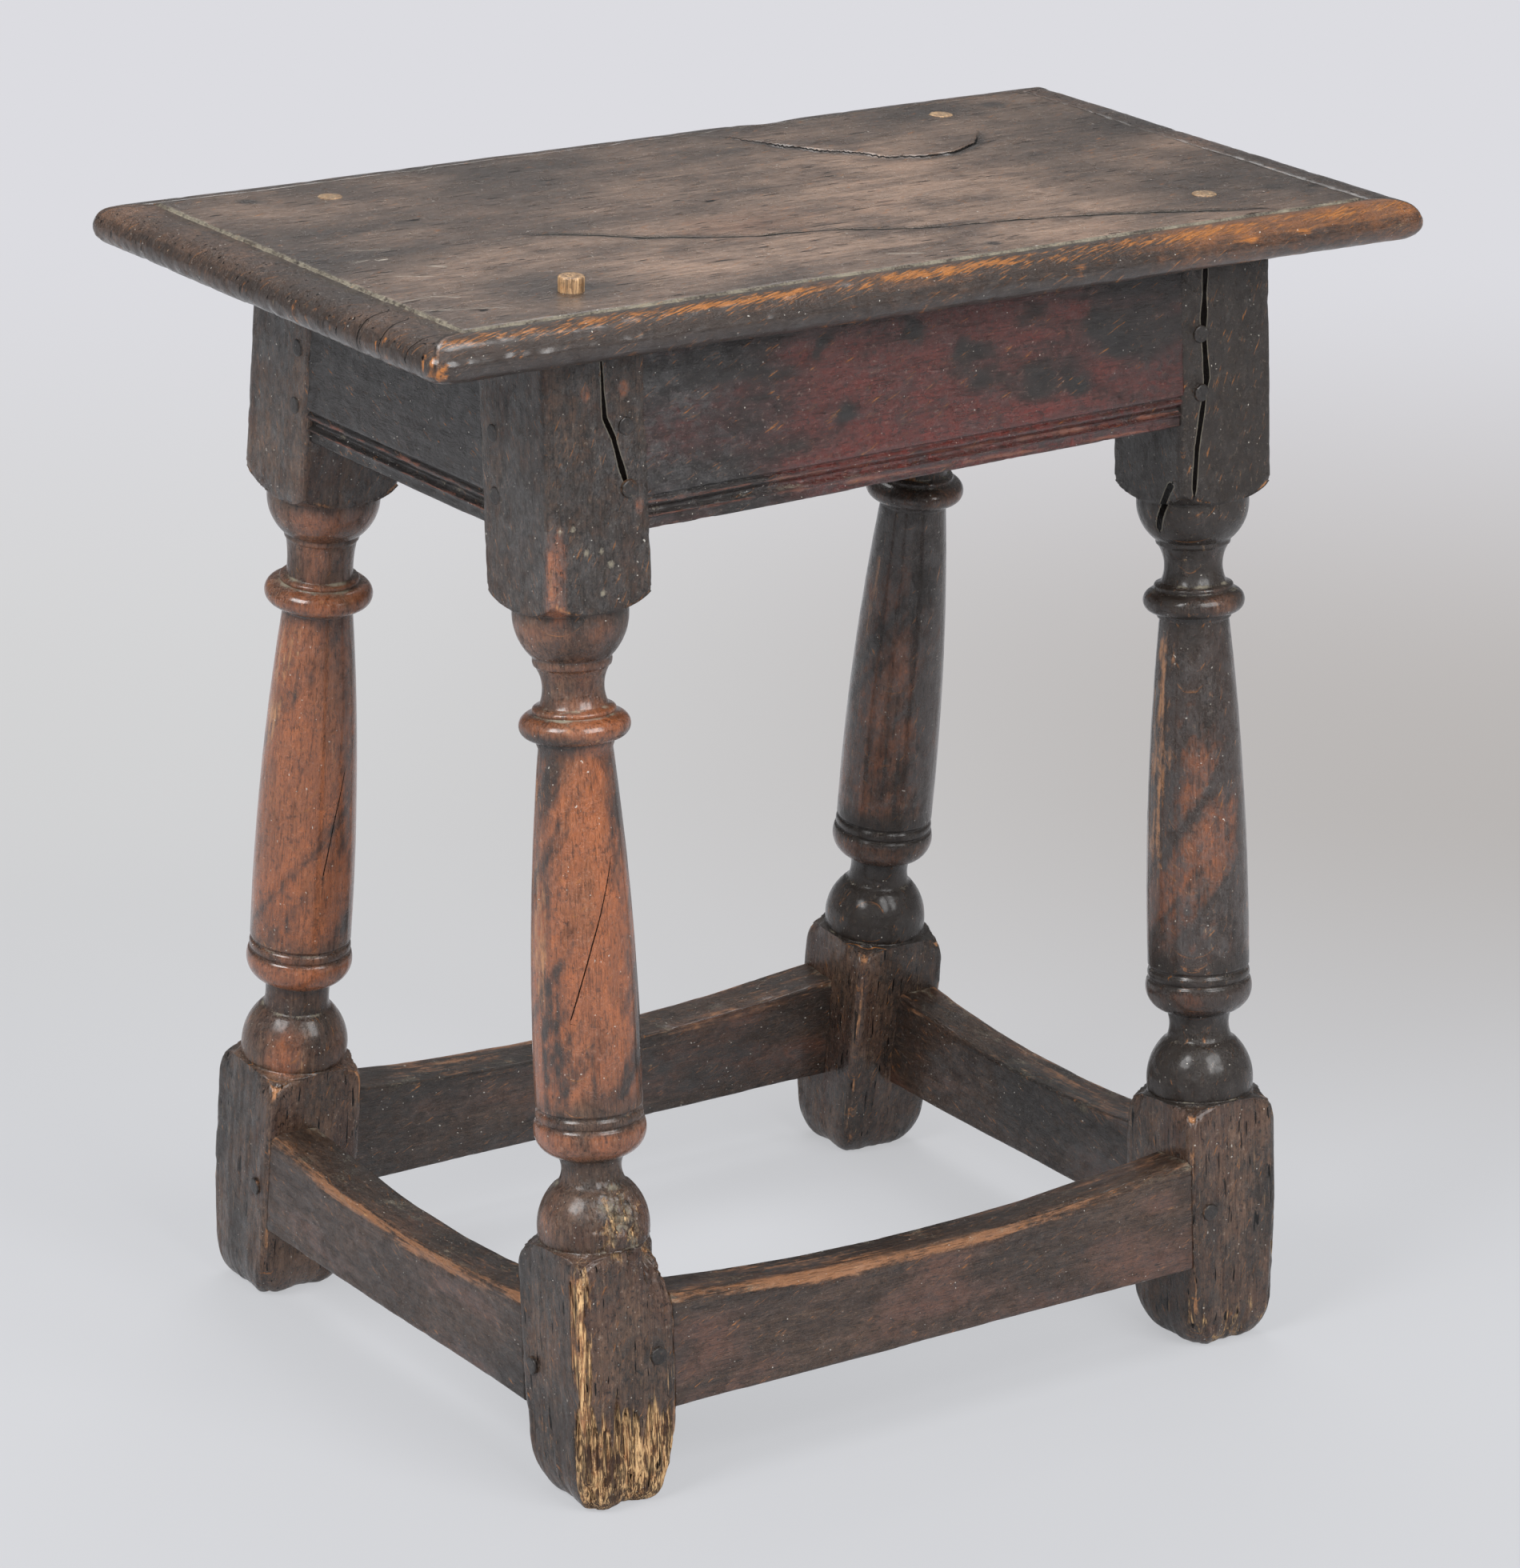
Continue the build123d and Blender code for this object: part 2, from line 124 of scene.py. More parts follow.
camera = bpy.data.objects.new("camera", bpy.data.cameras.new("camera"))
bpy.context.scene.collection.objects.link(camera)
camera.data.lens = FOCAL_PIXELS / max(IMAGE_SIZE) * camera.data.sensor_width
camera.data.clip_end = 50
camera_place = VIEW_TARGET + direction(VIEW_AZIMUTH, VIEW_ELEVATION) * VIEW_DISTANCE
camera.matrix_world = aimed(camera_place, VIEW_TARGET, VIEW_ROLL)
bpy.context.scene.camera = camera
bpy.context.scene.view_settings.view_transform = "Standard"
print(f"lens {camera.data.lens:.0f} mm at", [round(c, 3) for c in camera_place])

# %% [markdown]
# ## A small language for materials
#
# A material is a graph of nodes. Long graphs are hard to read as lists of links, so one small class
# wraps a socket and lets Python's own operators add the Math nodes, and one method adds any other node.

# %% Wrap sockets so that Python operators work on them
class Flow:
    """A value that flows out of a node, in the node tree of one material."""

    def __init__(self, tree, socket):
        self.tree = tree
        self.socket = socket

    def node(self, kind, settings, values, output=0):
        """Add a node: its settings first, then the values or links of its sockets."""
        made = self.tree.nodes.new(kind)
        for name, setting in settings.items():
            setattr(made, name, setting)
        for name, value in values.items():
            if isinstance(value, Flow):
                self.tree.links.new(value.socket, made.inputs[name])
            else:
                made.inputs[name].default_value = value
        return Flow(self.tree, made.outputs[output])

    def math(self, operation, *values):
        return self.node("ShaderNodeMath", {"operation": operation}, dict(enumerate(values)))

    def __add__(self, other):
        return self.math("ADD", self, other)

    def __sub__(self, other):
        return self.math("SUBTRACT", self, other)

    def __rsub__(self, other):
        return self.math("SUBTRACT", other, self)

    def __mul__(self, other):
        return self.math("MULTIPLY", self, other)

    def __truediv__(self, other):
        return self.math("DIVIDE", self, other)

    __radd__ = __add__
    __rmul__ = __mul__

    def between(self, low, high):
        """0 below low, 1 above high, and smooth between. With low above high it falls instead."""
        values = {"Value": self, "From Min": low, "From Max": high}
        return self.node("ShaderNodeMapRange", {"interpolation_type": "SMOOTHSTEP"}, values)

    def range(self, low, high):
        """Value that is low where this one is 0 and high where it is 1."""
        return self.node("ShaderNodeMapRange", {}, {"Value": self, "To Min": low, "To Max": high})

    def mix(self, under, over):
        """Colour under where this value is 0, and over where it is 1."""
        return self.node("ShaderNodeMix", {"data_type": "RGBA"}, {0: self, 6: under, 7: over}, 2)

    def stretched(self, scale):
        """Coordinates multiplied by a scale for each axis."""
        return self.node("ShaderNodeVectorMath", {"operation": "MULTIPLY"}, {0: self, 1: scale})

    def dot(self, axis):
        """Part of a vector along an axis."""
        return self.node("ShaderNodeVectorMath", {"operation": "DOT_PRODUCT"}, {0: self, 1: axis}, "Value")

    def ray(self, kind):
        """1 for rays of a kind, such as Camera or Glossy, and 0 for all others."""
        return self.node("ShaderNodeLightPath", {}, {}, f"Is {kind} Ray")

    def noise(self, cell, detail=2.0, roughness=0.5, distortion=0.0):
        """Cloudy value from 0 to 1 with features about one cell (in metres) across."""
        values = {"Vector": self, "Scale": 1 / cell, "Detail": detail, "Roughness": roughness}
        values["Distortion"] = distortion
        return self.node("ShaderNodeTexNoise", {}, values, "Fac")

    def split(self):
        """The three parts of a vector."""
        return [self.node("ShaderNodeSeparateXYZ", {}, {0: self}, part) for part in range(3)]


DARKEST = 10


def linear(*colour):
    """Colour written as 0 to 255 screen values, turned into the linear light that shaders use: a power
    law, and a straight line for the darkest values."""
    light = (((c / 255 + 0.055) / 1.055) ** 2.4 if c > DARKEST else c / 3295 for c in colour)
    return (*light, 1.0)


def new_material(name):
    """Material with a plain shader. Returns it, a Flow to build on, and the shader's sockets."""
    material = bpy.data.materials.new(name)
    material.use_nodes = True
    tree = material.node_tree
    shader = tree.nodes["Principled BSDF"]
    return material, Flow(tree, shader.outputs[0]), shader


def connect(flow, node, **sockets):
    """Link values to the named sockets of a node, with spaces written as underscores."""
    for name, value in sockets.items():
        flow.tree.links.new(value.socket, node.inputs[name.replace("_", " ")])


# %% [markdown]
# ## Light
#
# Two large soft boxes stand left and right of the camera and a third hangs behind the stool. Large
# lamps give the broad soft glints that waxed oak shows, and soft shadows. A grey world fills the rest.
# It has three strengths: one that lights, a dimmer one for glossy rays, so that the wax stays dark where
# no lamp is mirrored in it, and a brighter one for camera rays, which matches the floor's far end.

# %% Set the lamps and the world
# Azimuth, elevation, distance, size and watts of each.
LAMPS = {"left_box": (-80, 40, 2.4, 1.1, 56), "right_box": (6, 36, 2.5, 1.5, 60),
         "back_box": (150, 58, 2.6, 1.3, 30)}
SKY_COLOUR = (0.97, 0.98, 1.0, 1)
LIT_GREY, REFLECTED_GREY, SEEN_GREY = 0.45, 0.16, 0.73


def soft_box(name, azimuth, elevation, distance, size, watts):
    """Square area lamp at a direction and distance from the stool, facing it."""
    lamp = bpy.data.objects.new(name, bpy.data.lights.new(name, "AREA"))
    lamp.data.shape = "SQUARE"
    lamp.data.size = size
    lamp.data.energy = watts
    place = VIEW_TARGET + direction(math.radians(azimuth), math.radians(elevation)) * distance
    lamp.matrix_world = aimed(place, VIEW_TARGET)
    bpy.context.scene.collection.objects.link(lamp)


for name, lamp in LAMPS.items():
    soft_box(name, *lamp)

world = bpy.data.worlds.new("studio")
world.use_nodes = True
sky = world.node_tree.nodes["Background"]
sky.inputs["Color"].default_value = SKY_COLOUR
rays = Flow(world.node_tree, sky.outputs[0])
strength = rays.ray("Glossy").range(LIT_GREY, REFLECTED_GREY)
connect(rays, sky, Strength=rays.ray("Camera").range(strength, SEEN_GREY))
bpy.context.scene.world = world

# %% [markdown]
# ## Floor
#
# The floor is one wide sheet of plain paint that takes the shadows, under a soft grey glow that only the
# camera and reflections see, so that it throws no light. Near the stool the glow covers most of the paint,
# which leaves the shadows there faint: painted light over them. Further off only the glow is seen, with
# painted light and shade in it: brighter far off and on the left, darker on the right.

# %% Lay the floor
FLOOR_REACH = 14.0
FLOOR_PAINT = linear(178, 179, 183)
# Colours of the glow, with painted light and shade: brighter far off, lit on the left, shaded on the right.
GREY_NEAR, GREY_FAR = linear(209, 210, 213), linear(220, 220, 225)
GLOW_LIT_LEFT, GLOW_SHADED_RIGHT = linear(211, 211, 211), linear(180, 175, 171)
# Share of glow over the paint near the stool: painted light that makes the shadows there faint.
GLOW_OVER_NEAR_SHADOWS = 0.72
GLOW_REFLECTED = 0.5

corners = [(x * FLOOR_REACH, y * FLOOR_REACH, 0) for x, y in ((-1, -1), (1, -1), (1, 1), (-1, 1))]
floor_mesh = bpy.data.meshes.new("floor")
floor_mesh.from_pydata(corners, [], [(0, 1, 2, 3)])
floor = bpy.data.objects.new("floor", floor_mesh)
bpy.context.scene.collection.objects.link(floor)

paper, flow, shader = new_material("studio_paper")
shader.inputs["Base Color"].default_value = FLOOR_PAINT
shader.inputs["Roughness"].default_value = 0.8
shader.inputs["Specular IOR Level"].default_value = 0.2
place = flow.node("ShaderNodeTexCoord", {}, {}, "Object")
depth = place.dot(direction(VIEW_AZIMUTH, 0) * -1)
sideways = place.dot(direction(VIEW_AZIMUTH + math.pi / 2, 0))
spread = flow.node("ShaderNodeVectorMath", {"operation": "LENGTH"}, {0: place}, "Value")
# Painted light and shade in the glow: lit on the left, shaded on the right, brighter far off.
middle = sideways.between(-0.35, 0.35).mix(GLOW_LIT_LEFT, GLOW_SHADED_RIGHT)
shade = depth.between(0.55, 2.1).mix(depth.between(0.05, 0.75).mix(GREY_NEAR, middle), GREY_FAR)
glow = flow.node("ShaderNodeEmission", {}, {"Color": shade}, "Emission")
# Near the stool the glow still covers most of the paint, which paints light into the shadows.
glow_share = spread.between(0.55, 1.25) * (1 - GLOW_OVER_NEAR_SHADOWS) + GLOW_OVER_NEAR_SHADOWS
seen = flow.math("MAXIMUM", flow.ray("Camera"), flow.ray("Glossy") * GLOW_REFLECTED)
blend = flow.node("ShaderNodeMixShader", {}, {0: glow_share * seen, 1: flow, 2: glow})
connect(blend, paper.node_tree.nodes["Material Output"], Surface=blend)
floor.data.materials.append(paper)
print("floor laid,", 2 * FLOOR_REACH, "m wide")

# %% [markdown]
# ## Chance, in numpy
#
# Old oak is never regular: faces are hollowed, arrises chipped, patina comes and goes. All of it starts
# from value noise, which is random numbers on a lattice, blended smoothly between the lattice points.
# A long cell gives noise drawn out along the grain. Each use has its own seed, so each run is the same.

# %% Noise, smooth steps and lines
LATTICE = 32
SPREAD = 1.6


def clamp(value):
    """The value, kept between 0 and 1."""
    return np.clip(value, 0, 1)


def step_up(value, low, high):
    """0 below low and 1 above high, joined by the curve 3t^2 - 2t^3. With low above high it falls."""
    t = clamp((value - low) / (high - low))
    return t * t * (3 - 2 * t)


def span(value, start, full, fading, gone):
    """Rises from 0 to 1 between start and full, and falls back between fading and gone."""
    return step_up(value, start, full) * (1 - step_up(value, fading, gone))


def value_noise(points, cell, seed):
    """Random numbers at lattice corners one cell apart, weighted by 3t^2 - 2t^3 between the eight
    corners round each point. cell is one length or one for each axis."""
    lattice = np.random.default_rng(seed).random((LATTICE, LATTICE, LATTICE))
    scaled = points / cell
    corner = np.floor(scaled).astype(int)
    t = scaled - corner
    t = t * t * (3 - 2 * t)
    total = np.zeros(points.shape[:-1])
    for bits in np.ndindex(2, 2, 2):
        index = (corner + bits) % LATTICE
        weight = np.prod(np.where(bits, t, 1 - t), axis=-1)
        total += weight * lattice[index[..., 0], index[..., 1], index[..., 2]]
    return total


def rough(points, cell, seed, layers=3):
    """Sum of noise layers, each with half the cell and half the strength of the last, over the sum of
    their strengths and spread a little, so that it fills the range from -1 to 1."""
    total, strength, reach = 0, 1.0, 0.0
    for layer in range(layers):
        total = total + strength * (2 * value_noise(points, np.asarray(cell) / 2**layer, seed + layer) - 1)
        reach += strength
        strength /= 2
    return total / reach * SPREAD


def path_distance(across, along, path):
    """Signed distance of points from an open path of straight runs, in their plane: the least distance
    to any run, with its sign from the side of the nearest."""
    best = np.full(across.shape, np.inf)
    signed = np.zeros(across.shape)
    for (a0, b0), (a1, b1) in zip(path[:-1], path[1:]):
        run = np.hypot(a1 - a0, b1 - b0)
        da, db = (a1 - a0) / run, (b1 - b0) / run
        t = np.clip((across - a0) * da + (along - b0) * db, 0, run)
        gap = np.hypot(across - a0 - t * da, along - b0 - t * db)
        side = (across - a0) * db - (along - b0) * da
        nearer = gap < best
        best = np.where(nearer, gap, best)
        signed = np.where(nearer, np.where(side < 0, -gap, gap), signed)
    return signed


def bump(distance, width):
    """Bell curve: 1 at distance 0, falling to nothing past about twice the width."""
    return np.exp(-((distance / width) ** 2))


# %% [markdown]
# ## From arrays to pieces
#
# A surface is a grid of points: rows along it and columns round it. The faces between them follow from
# the numbering alone. Besides its shape each piece carries a few numbers at every point, its "paint":
# how worn, dusty, blackened, red, raw or scratched the wood is there, and on a few parts the light and
# shade painted on it. It also carries the timber's own coordinates, with the grain along the third, and
# the distance to the nearest crack, which stays sharp between the points because it changes evenly.

# %% Build meshes
PAINT = {"tone": ("wear", "dust", "dark"), "kind": ("warm", "raw", "mark"), "line": ("gap", "open", "rim"),
         "skin": ("mottle", "bloom", "flame")}
NO_GAP = 5.0


def ring_faces(rows, columns):
    """Quads between neighbouring rows of closed rings, anticlockwise seen from outside when the rings
    run anticlockwise seen from the last row."""
    row, column = np.meshgrid(np.arange(rows - 1), np.arange(columns), indexing="ij")
    here = row * columns + column
    beside = row * columns + (column + 1) % columns
    return np.stack([here, beside, beside + columns, here + columns], -1).reshape(-1, 4)


def make_piece(name, points, faces, timber, paint, slot, node):
    """Mesh from points in millimetres, with its paint, riding on the frame in place of a CAD node. Paint
    that isn't given is 0."""
    mesh = bpy.data.meshes.new(name)
    mesh.from_pydata((points * METRE).tolist(), [], faces)
    vectors = {"timber": timber * METRE}
    for attribute, parts in PAINT.items():
        values = [np.broadcast_to(paint.get(part, 0.0), len(points)) for part in parts]
        vectors[attribute] = np.stack(values, -1)
    for attribute, values in vectors.items():
        mesh.attributes.new(attribute, "FLOAT_VECTOR", "POINT").data.foreach_set("vector", values.ravel())
    mesh.shade_smooth()
    mesh.materials.append(OAKS[slot])
    piece = bpy.data.objects.new(name, mesh)
    bpy.context.scene.collection.objects.link(piece)
    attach(piece, "root")
    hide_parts(node)
    return piece


def capped_rings(points):
    """Close a stack of rings with a point at the middle of its first and last ring. Returns all the
    points and faces."""
    rows, columns = points.shape[:2]
    column = np.arange(columns)
    beside = (column + 1) % columns
    first, last = rows * columns, rows * columns + 1
    top = (rows - 1) * columns
    faces = ring_faces(rows, columns).tolist()
    faces += np.stack([beside, column, np.full(columns, first)], -1).tolist()
    faces += np.stack([top + column, top + beside, np.full(columns, last)], -1).tolist()
    return with_ends(points), faces


def with_ends(values):
    """Values of a stack of rings, flattened, followed by the means of its first and last ring."""
    return np.concatenate([values.reshape(-1, *values.shape[2:]), [values[0].mean(0)], [values[-1].mean(0)]])


def make_stack(name, rings, timber, paint, slot, node):
    """Closed piece from a stack of rings, its timber coordinates and paint given on the same grid."""
    points, faces = capped_rings(rings)
    paint = {part: with_ends(np.broadcast_to(values, rings.shape[:2])) for part, values in paint.items()}
    piece = make_piece(name, points, faces, with_ends(timber), paint, slot, node)
    print(piece.name, len(piece.data.polygons), "faces")


def add_to(paint, **amounts):
    """Add amounts to the parts of a paint."""
    for part, amount in amounts.items():
        paint[part] = paint[part] + amount


# %% [markdown]
# ## Old oak
#
# One finish serves every piece, with other colours for each. Under the patina oak has long dark pores
# and pale streaks along the grain. Over that lie polish gone black or red, bare golden wood where hands
# and feet have rubbed, and pale dust in the corners. The large patches come with the mesh as paint, and
# the nodes break their edges up and add all that is finer than a millimetre or two.
#
# Nearly every mask below is made the same way. A painted value and one or two noises, less their mean,
# are added up, and the sum is cut off softly, so that an even edge in the paint becomes a ragged one.

# %% Noises that the finish is mixed from
# The share of its length that a noise keeps along the grain, then its cell in metres, detail,
# roughness and distortion.
NOISES = {
    "streak": (0.05, 0.0022, 5.0, 0.66, 0.8),
    "thread": (0.05, 0.0006, 3.0, 0.6, 0.0),
    "pore": (0.09, 0.0007, 2.0, 0.5, 0.0),
    "cloud": (0.5, 0.022, 5.0, 0.6, 0.6),
    "blotch": (0.7, 0.007, 6.0, 0.72, 0.5),
    "fleck": (0.6, 0.0034, 5.0, 0.7, 0.0),
    "grit": (1.0, 0.0009, 3.0, 0.7, 0.0),
    "scale": (0.75, 0.0021, 6.0, 0.78, 0.0),
    "slit": (0.13, 0.0019, 1.0, 0.5, 0.0),
    "scuff": (0.05, 0.0011, 2.0, 0.5, 0.0),
    "speck": (1.0, 0.0012, 0.0, 0.5, 0.0),
}
SLANT = (0.7, 0.7, -0.32)
HAIR_DRAWN = 0.09
HAIR = (0.0009, 3.0, 0.65, 0.3)


def oak_fields(flow):
    """The painted values and the noises, each as a Flow. off_ noises are given less their mean."""
    vectors = {}
    for name in ("timber", *PAINT):
        vectors[name] = flow.node("ShaderNodeAttribute", {"attribute_name": name}, {}, "Vector")
    timber = vectors["timber"]
    f = SimpleNamespace(flow=flow)
    for name, parts in PAINT.items():
        f.__dict__.update(zip(parts, vectors[name].split()))
    for name, (kept, *noise) in NOISES.items():
        setattr(f, name, (timber if kept == 1 else timber.stretched((1, 1, kept))).noise(*noise))
    across_flames = {0: timber.dot(SLANT), 1: timber.split()[2] * HAIR_DRAWN}
    f.hair = flow.node("ShaderNodeCombineXYZ", {}, across_flames).noise(*HAIR)
    for name in ("streak", "blotch", "fleck", "grit", "cloud", "hair", "scuff"):
        setattr(f, f"off_{name}", getattr(f, name) - 0.5)
    return f


# %% [markdown]
# The patina goes on in the order in which the wood got it: its own colour, the warm varnish with the darker
# figure over it, soot and wax, and last what has been rubbed off again. Pale flecks between the wax and
# the rubbing are painted glints, and the rubbing carries painted light on the leg columns and rail beads.

# %% Patina
DUST = linear(138, 131, 114)
PORE = linear(14, 10, 8)
# Pale specks, part dust and part painted glints.
DUST_AND_GLINT_SPECK = linear(205, 200, 190)
# Colour of pale scratches, and of the painted glints.
SCRATCH_AND_GLINT = linear(178, 170, 156)
BLOOM = linear(92, 90, 90)
FLAME = linear(152, 93, 32)
GRAIN_SHADE = (0.42, 0.36, 0.33, 1)


def patina(f, oak):
    """Colour of the old surface, with painted glints in it. Keeps the masks that the shader needs again."""
    colour = (f.cloud * 0.55 + f.streak * 0.3 + f.blotch * 0.15).between(0.36, 0.64).mix(oak.deep, oak.pale)
    f.redness = (f.warm * 1.4 - 0.3 + f.off_cloud * 1.1 + f.off_blotch * 1.1).between(0.0, 1.0)
    colour = f.redness.mix(colour, oak.warm)
    fiery = (f.redness - 0.35 + f.off_blotch * 3.0).between(0.1, 0.9) * f.mottle
    colour = (fiery * 0.55).mix(colour, oak.deep)
    lines = (f.thread * 0.5 + f.streak * 0.5).between(0.56, 0.42)
    shadow = f.flow.node("ShaderNodeMix", {"data_type": "RGBA", "blend_type": "MULTIPLY"},
                         {0: 1.0, 6: colour, 7: GRAIN_SHADE}, 2)
    colour = (lines * oak.figure).mix(colour, shadow)
    speckled = (f.off_fleck * 1.7 + f.off_blotch * 1.3) * f.mottle
    sooty = (f.dark * 1.2 - 0.1 + speckled + f.off_cloud * 0.5).between(0.0, 1.0)
    colour = (sooty * 0.94).mix(colour, oak.soot)
    waxy = (f.bloom * 1.1 - 0.35 + f.off_blotch * 2.0 + f.off_grit * 1.3).between(0.0, 0.8)
    colour = (waxy * 0.36).mix(colour, BLOOM)
    colour = (f.scale.between(0.47, 0.37) * (0.1 + f.mottle * 0.75)).mix(colour, PORE)
    # Painted glints: pale flecks between the worn and the scratch colour, standing for small highlights.
    painted_glint = f.bloom.between(-0.5, 0.4).mix(oak.worn, SCRATCH_AND_GLINT)
    painted_glint_share = f.scale.between(0.57, 0.7) * (0.05 + f.mottle * 0.34) * (1 - sooty * 0.55)
    colour = painted_glint_share.mix(colour, painted_glint)
    # Rubbed wood, which on the leg columns and the rail beads also carries painted light.
    rubbed_and_lit = (f.wear * 1.3 - 0.35 + f.off_streak * 1.5 + f.off_fleck * 1.3).between(0.05, 0.65)
    colour = (rubbed_and_lit * 0.9).mix(colour, oak.worn)
    f.licks = (f.flame * 1.3 - 0.5 + f.off_hair * 4.2 + f.off_blotch * 2.0).between(0.0, 0.7)
    return (f.licks * 0.9).mix(colour, FLAME)


# %% [markdown]
# Where the surface is gone the bare wood shows its fibres, with dark fissures between them. Pores, slits
# and scuffs run through old and bare wood alike, and dust lies over all, with pale specks on top that are
# part dust and part painted glint.

# %% Bare wood, pores and dust
def bare_and_dusty(f, oak, colour):
    """Colour with the bare wood, the pores, the dust and pale specks, part dust and part painted glint,
    over the patina.
    """
    f.strip = (f.raw * 1.6 - 0.4 + f.off_streak * 2.0 + f.off_blotch * 2.0).between(0.0, 0.8)
    f.fissure = (f.thread * 0.45 + f.streak * 0.55).between(0.53, 0.44)
    fibres = (f.thread * 0.6 + f.blotch * 0.4).between(0.42, 0.56).mix(oak.worn, oak.raw)
    fibres = (f.fissure * 0.85).mix(fibres, oak.soot)
    fibres = ((f.cloud * 0.5 + f.blotch * 0.5).between(0.47, 0.4) * 0.8).mix(fibres, oak.deep)
    colour = f.strip.mix(colour, fibres)
    f.pores = f.pore.between(0.56, 0.66)
    colour = (f.pores * (0.2 + 0.5 * oak.figure)).mix(colour, PORE)
    f.slits = f.slit.between(0.68, 0.72) * f.mark.between(0.0, 0.25)
    colour = f.slits.mix(colour, PORE)
    scuffed = (f.mark * 1.1 - 0.62 + f.off_scuff * 2.4).between(0.15, 0.5)
    colour = (scuffed * 0.5).mix(colour, oak.raw)
    f.film = (f.dust * 1.3 - 0.25 + f.off_grit * 1.4 + f.off_fleck * 0.9).between(0.1, 0.9)
    colour = (f.film * 0.8).mix(colour, DUST)
    # Pale specks, part dust and part painted glints.
    return (f.speck.between(0.835, 0.86) * 0.6).mix(colour, DUST_AND_GLINT_SPECK)


# %% [markdown]
# A crack is where the distance to its path is less than half its width, both of which are painted. A
# half width below 0 stands for a pale scratch, as wide as the number without its sign.

# %% Cracks and scratches
def cracked(f, colour):
    """Colour with the cracks, the scratches and the dusty lips of cracks."""
    distance = f.gap.math("ABSOLUTE", f.gap) + f.off_grit * 0.5
    f.crack = ((f.open - distance) / 0.25 + 0.5).between(0, 1) * f.open.between(0.02, 0.06)
    colour = f.crack.mix(colour, PORE)
    scored = ((f.open * -1 - distance) / 0.3 + 0.5).between(0, 1) * f.open.between(-0.02, -0.06)
    colour = (scored * (0.15 + f.grit)).mix(colour, SCRATCH_AND_GLINT)
    lip = (distance - f.open).between(0.9, 0.0) * f.rim * (1 - f.crack)
    return (lip * 0.6).mix(colour, DUST)


# %% [markdown]
# The same masks set the gloss and the relief. Dust and bare wood are dull, and wax lies as a thin coat on
# what is left of the polish. A crack has to stay black under any lamp, so it is made metal with a black
# colour, which reflects nothing.

# %% Mix the oak
OAK_SPECULAR, WAX_ROUGHNESS = 0.4, 0.18
RELIEF = {"Strength": 0.85, "Distance": 0.0009}


def old_oak(name, *finish):
    """Oak in six colours: deep and pale patina, warm varnish, worn arris, which also tints the painted
    glints, raw wood and blackened wax.
    After them come its gloss and its figure, which is how strongly the grain shows."""
    *colours, gloss, figure = finish
    names = ("deep", "pale", "warm", "worn", "raw", "soot")
    oak = SimpleNamespace(figure=figure, **{part: linear(*colour) for part, colour in zip(names, colours)})
    material, flow, shader = new_material(name)
    f = oak_fields(flow)
    colour = cracked(f, bare_and_dusty(f, oak, patina(f, oak)))
    haze = gloss + f.redness * 0.08 + f.off_fleck * 0.45 + f.film * 0.35 + f.strip * 0.35
    haze = haze + f.off_blotch * 0.25
    waxed = 0.4 + f.redness * 0.4 - f.film - f.strip - f.crack - f.flame * 1.1 + f.off_blotch * 1.2
    waxed = waxed.between(0.0, 0.9) * 0.95
    height = f.streak * 0.35 + f.thread * 0.15 - f.pores * 0.2 + f.grit * 0.16
    height = height + (f.fleck * 0.9 + f.blotch * 1.6 + f.scale * 0.5) * (0.35 + f.mottle * 0.9)
    height = height + f.licks * 0.15 - f.crack * 3.0 - f.strip * f.fissure * 1.6 - f.slits * 1.5
    relief = flow.node("ShaderNodeBump", {}, {**RELIEF, "Height": height}, "Normal")
    shader.inputs["Specular IOR Level"].default_value = OAK_SPECULAR
    shader.inputs["Coat Roughness"].default_value = WAX_ROUGHNESS
    connect(flow, shader, Base_Color=colour, Roughness=haze, Normal=relief, Coat_Weight=waxed,
            Metallic=f.crack.math("MAXIMUM", f.crack, f.slits))
    return material


# Deep, pale, warm, worn, raw and soot, then the roughness of a clean surface and the strength of the
# grain.
FINISHES = {
    "seat_oak": ((76, 60, 50), (148, 122, 104), (124, 76, 40), (160, 98, 40), (200, 166, 124), (36, 29, 25),
                 0.32, 0.26),
    "leg_oak": ((66, 44, 34), (112, 86, 68), (158, 90, 50), (172, 120, 78), (208, 170, 122), (30, 25, 21),
                0.22, 0.36),
    "rail_oak": ((30, 23, 21), (46, 35, 30), (98, 30, 20), (108, 64, 48), (150, 122, 92), (27, 24, 23),
                 0.2, 0.35),
    "stretcher_oak": ((50, 36, 28), (76, 57, 44), (98, 58, 40), (142, 98, 66), (196, 156, 106),
                      (32, 26, 22), 0.36, 0.45),
    "peg_oak": ((40, 34, 31), (62, 50, 42), (70, 48, 36), (104, 76, 54), (150, 110, 70), (26, 23, 22),
                0.4, 1.0),
    "seat_peg_oak": ((134, 104, 72), (196, 158, 116), (186, 136, 84), (206, 168, 122), (212, 186, 152),
                     (90, 76, 60), 0.55, 0.6),
}
OAKS = {slot: old_oak(slot, *finish) for slot, finish in FINISHES.items()}
print("finishes:", list(OAKS))

# %% [markdown]
# ## Legs
#
# A turner centres a square blank in the lathe and cuts between the parts left square for the joints.
# So the leg is one function of the angle round it and the height along it: its radius is the lesser of
# the blank's square and the lathe's profile. Wear and rot then take a little more off.

# %% The turner's profile
ABOVE_FOOT = dict(pommel=108.5, block=115, bulb=140, neck=153, band=168.3, cushion=172.8, column=174.4)
BELOW_SEAT = dict(column=169.0, ring=166.4, neck=153.4, astragal=135.6, cup=133.4, rim=114.0)
CLEAR = HALF * math.sqrt(2) + 0.8


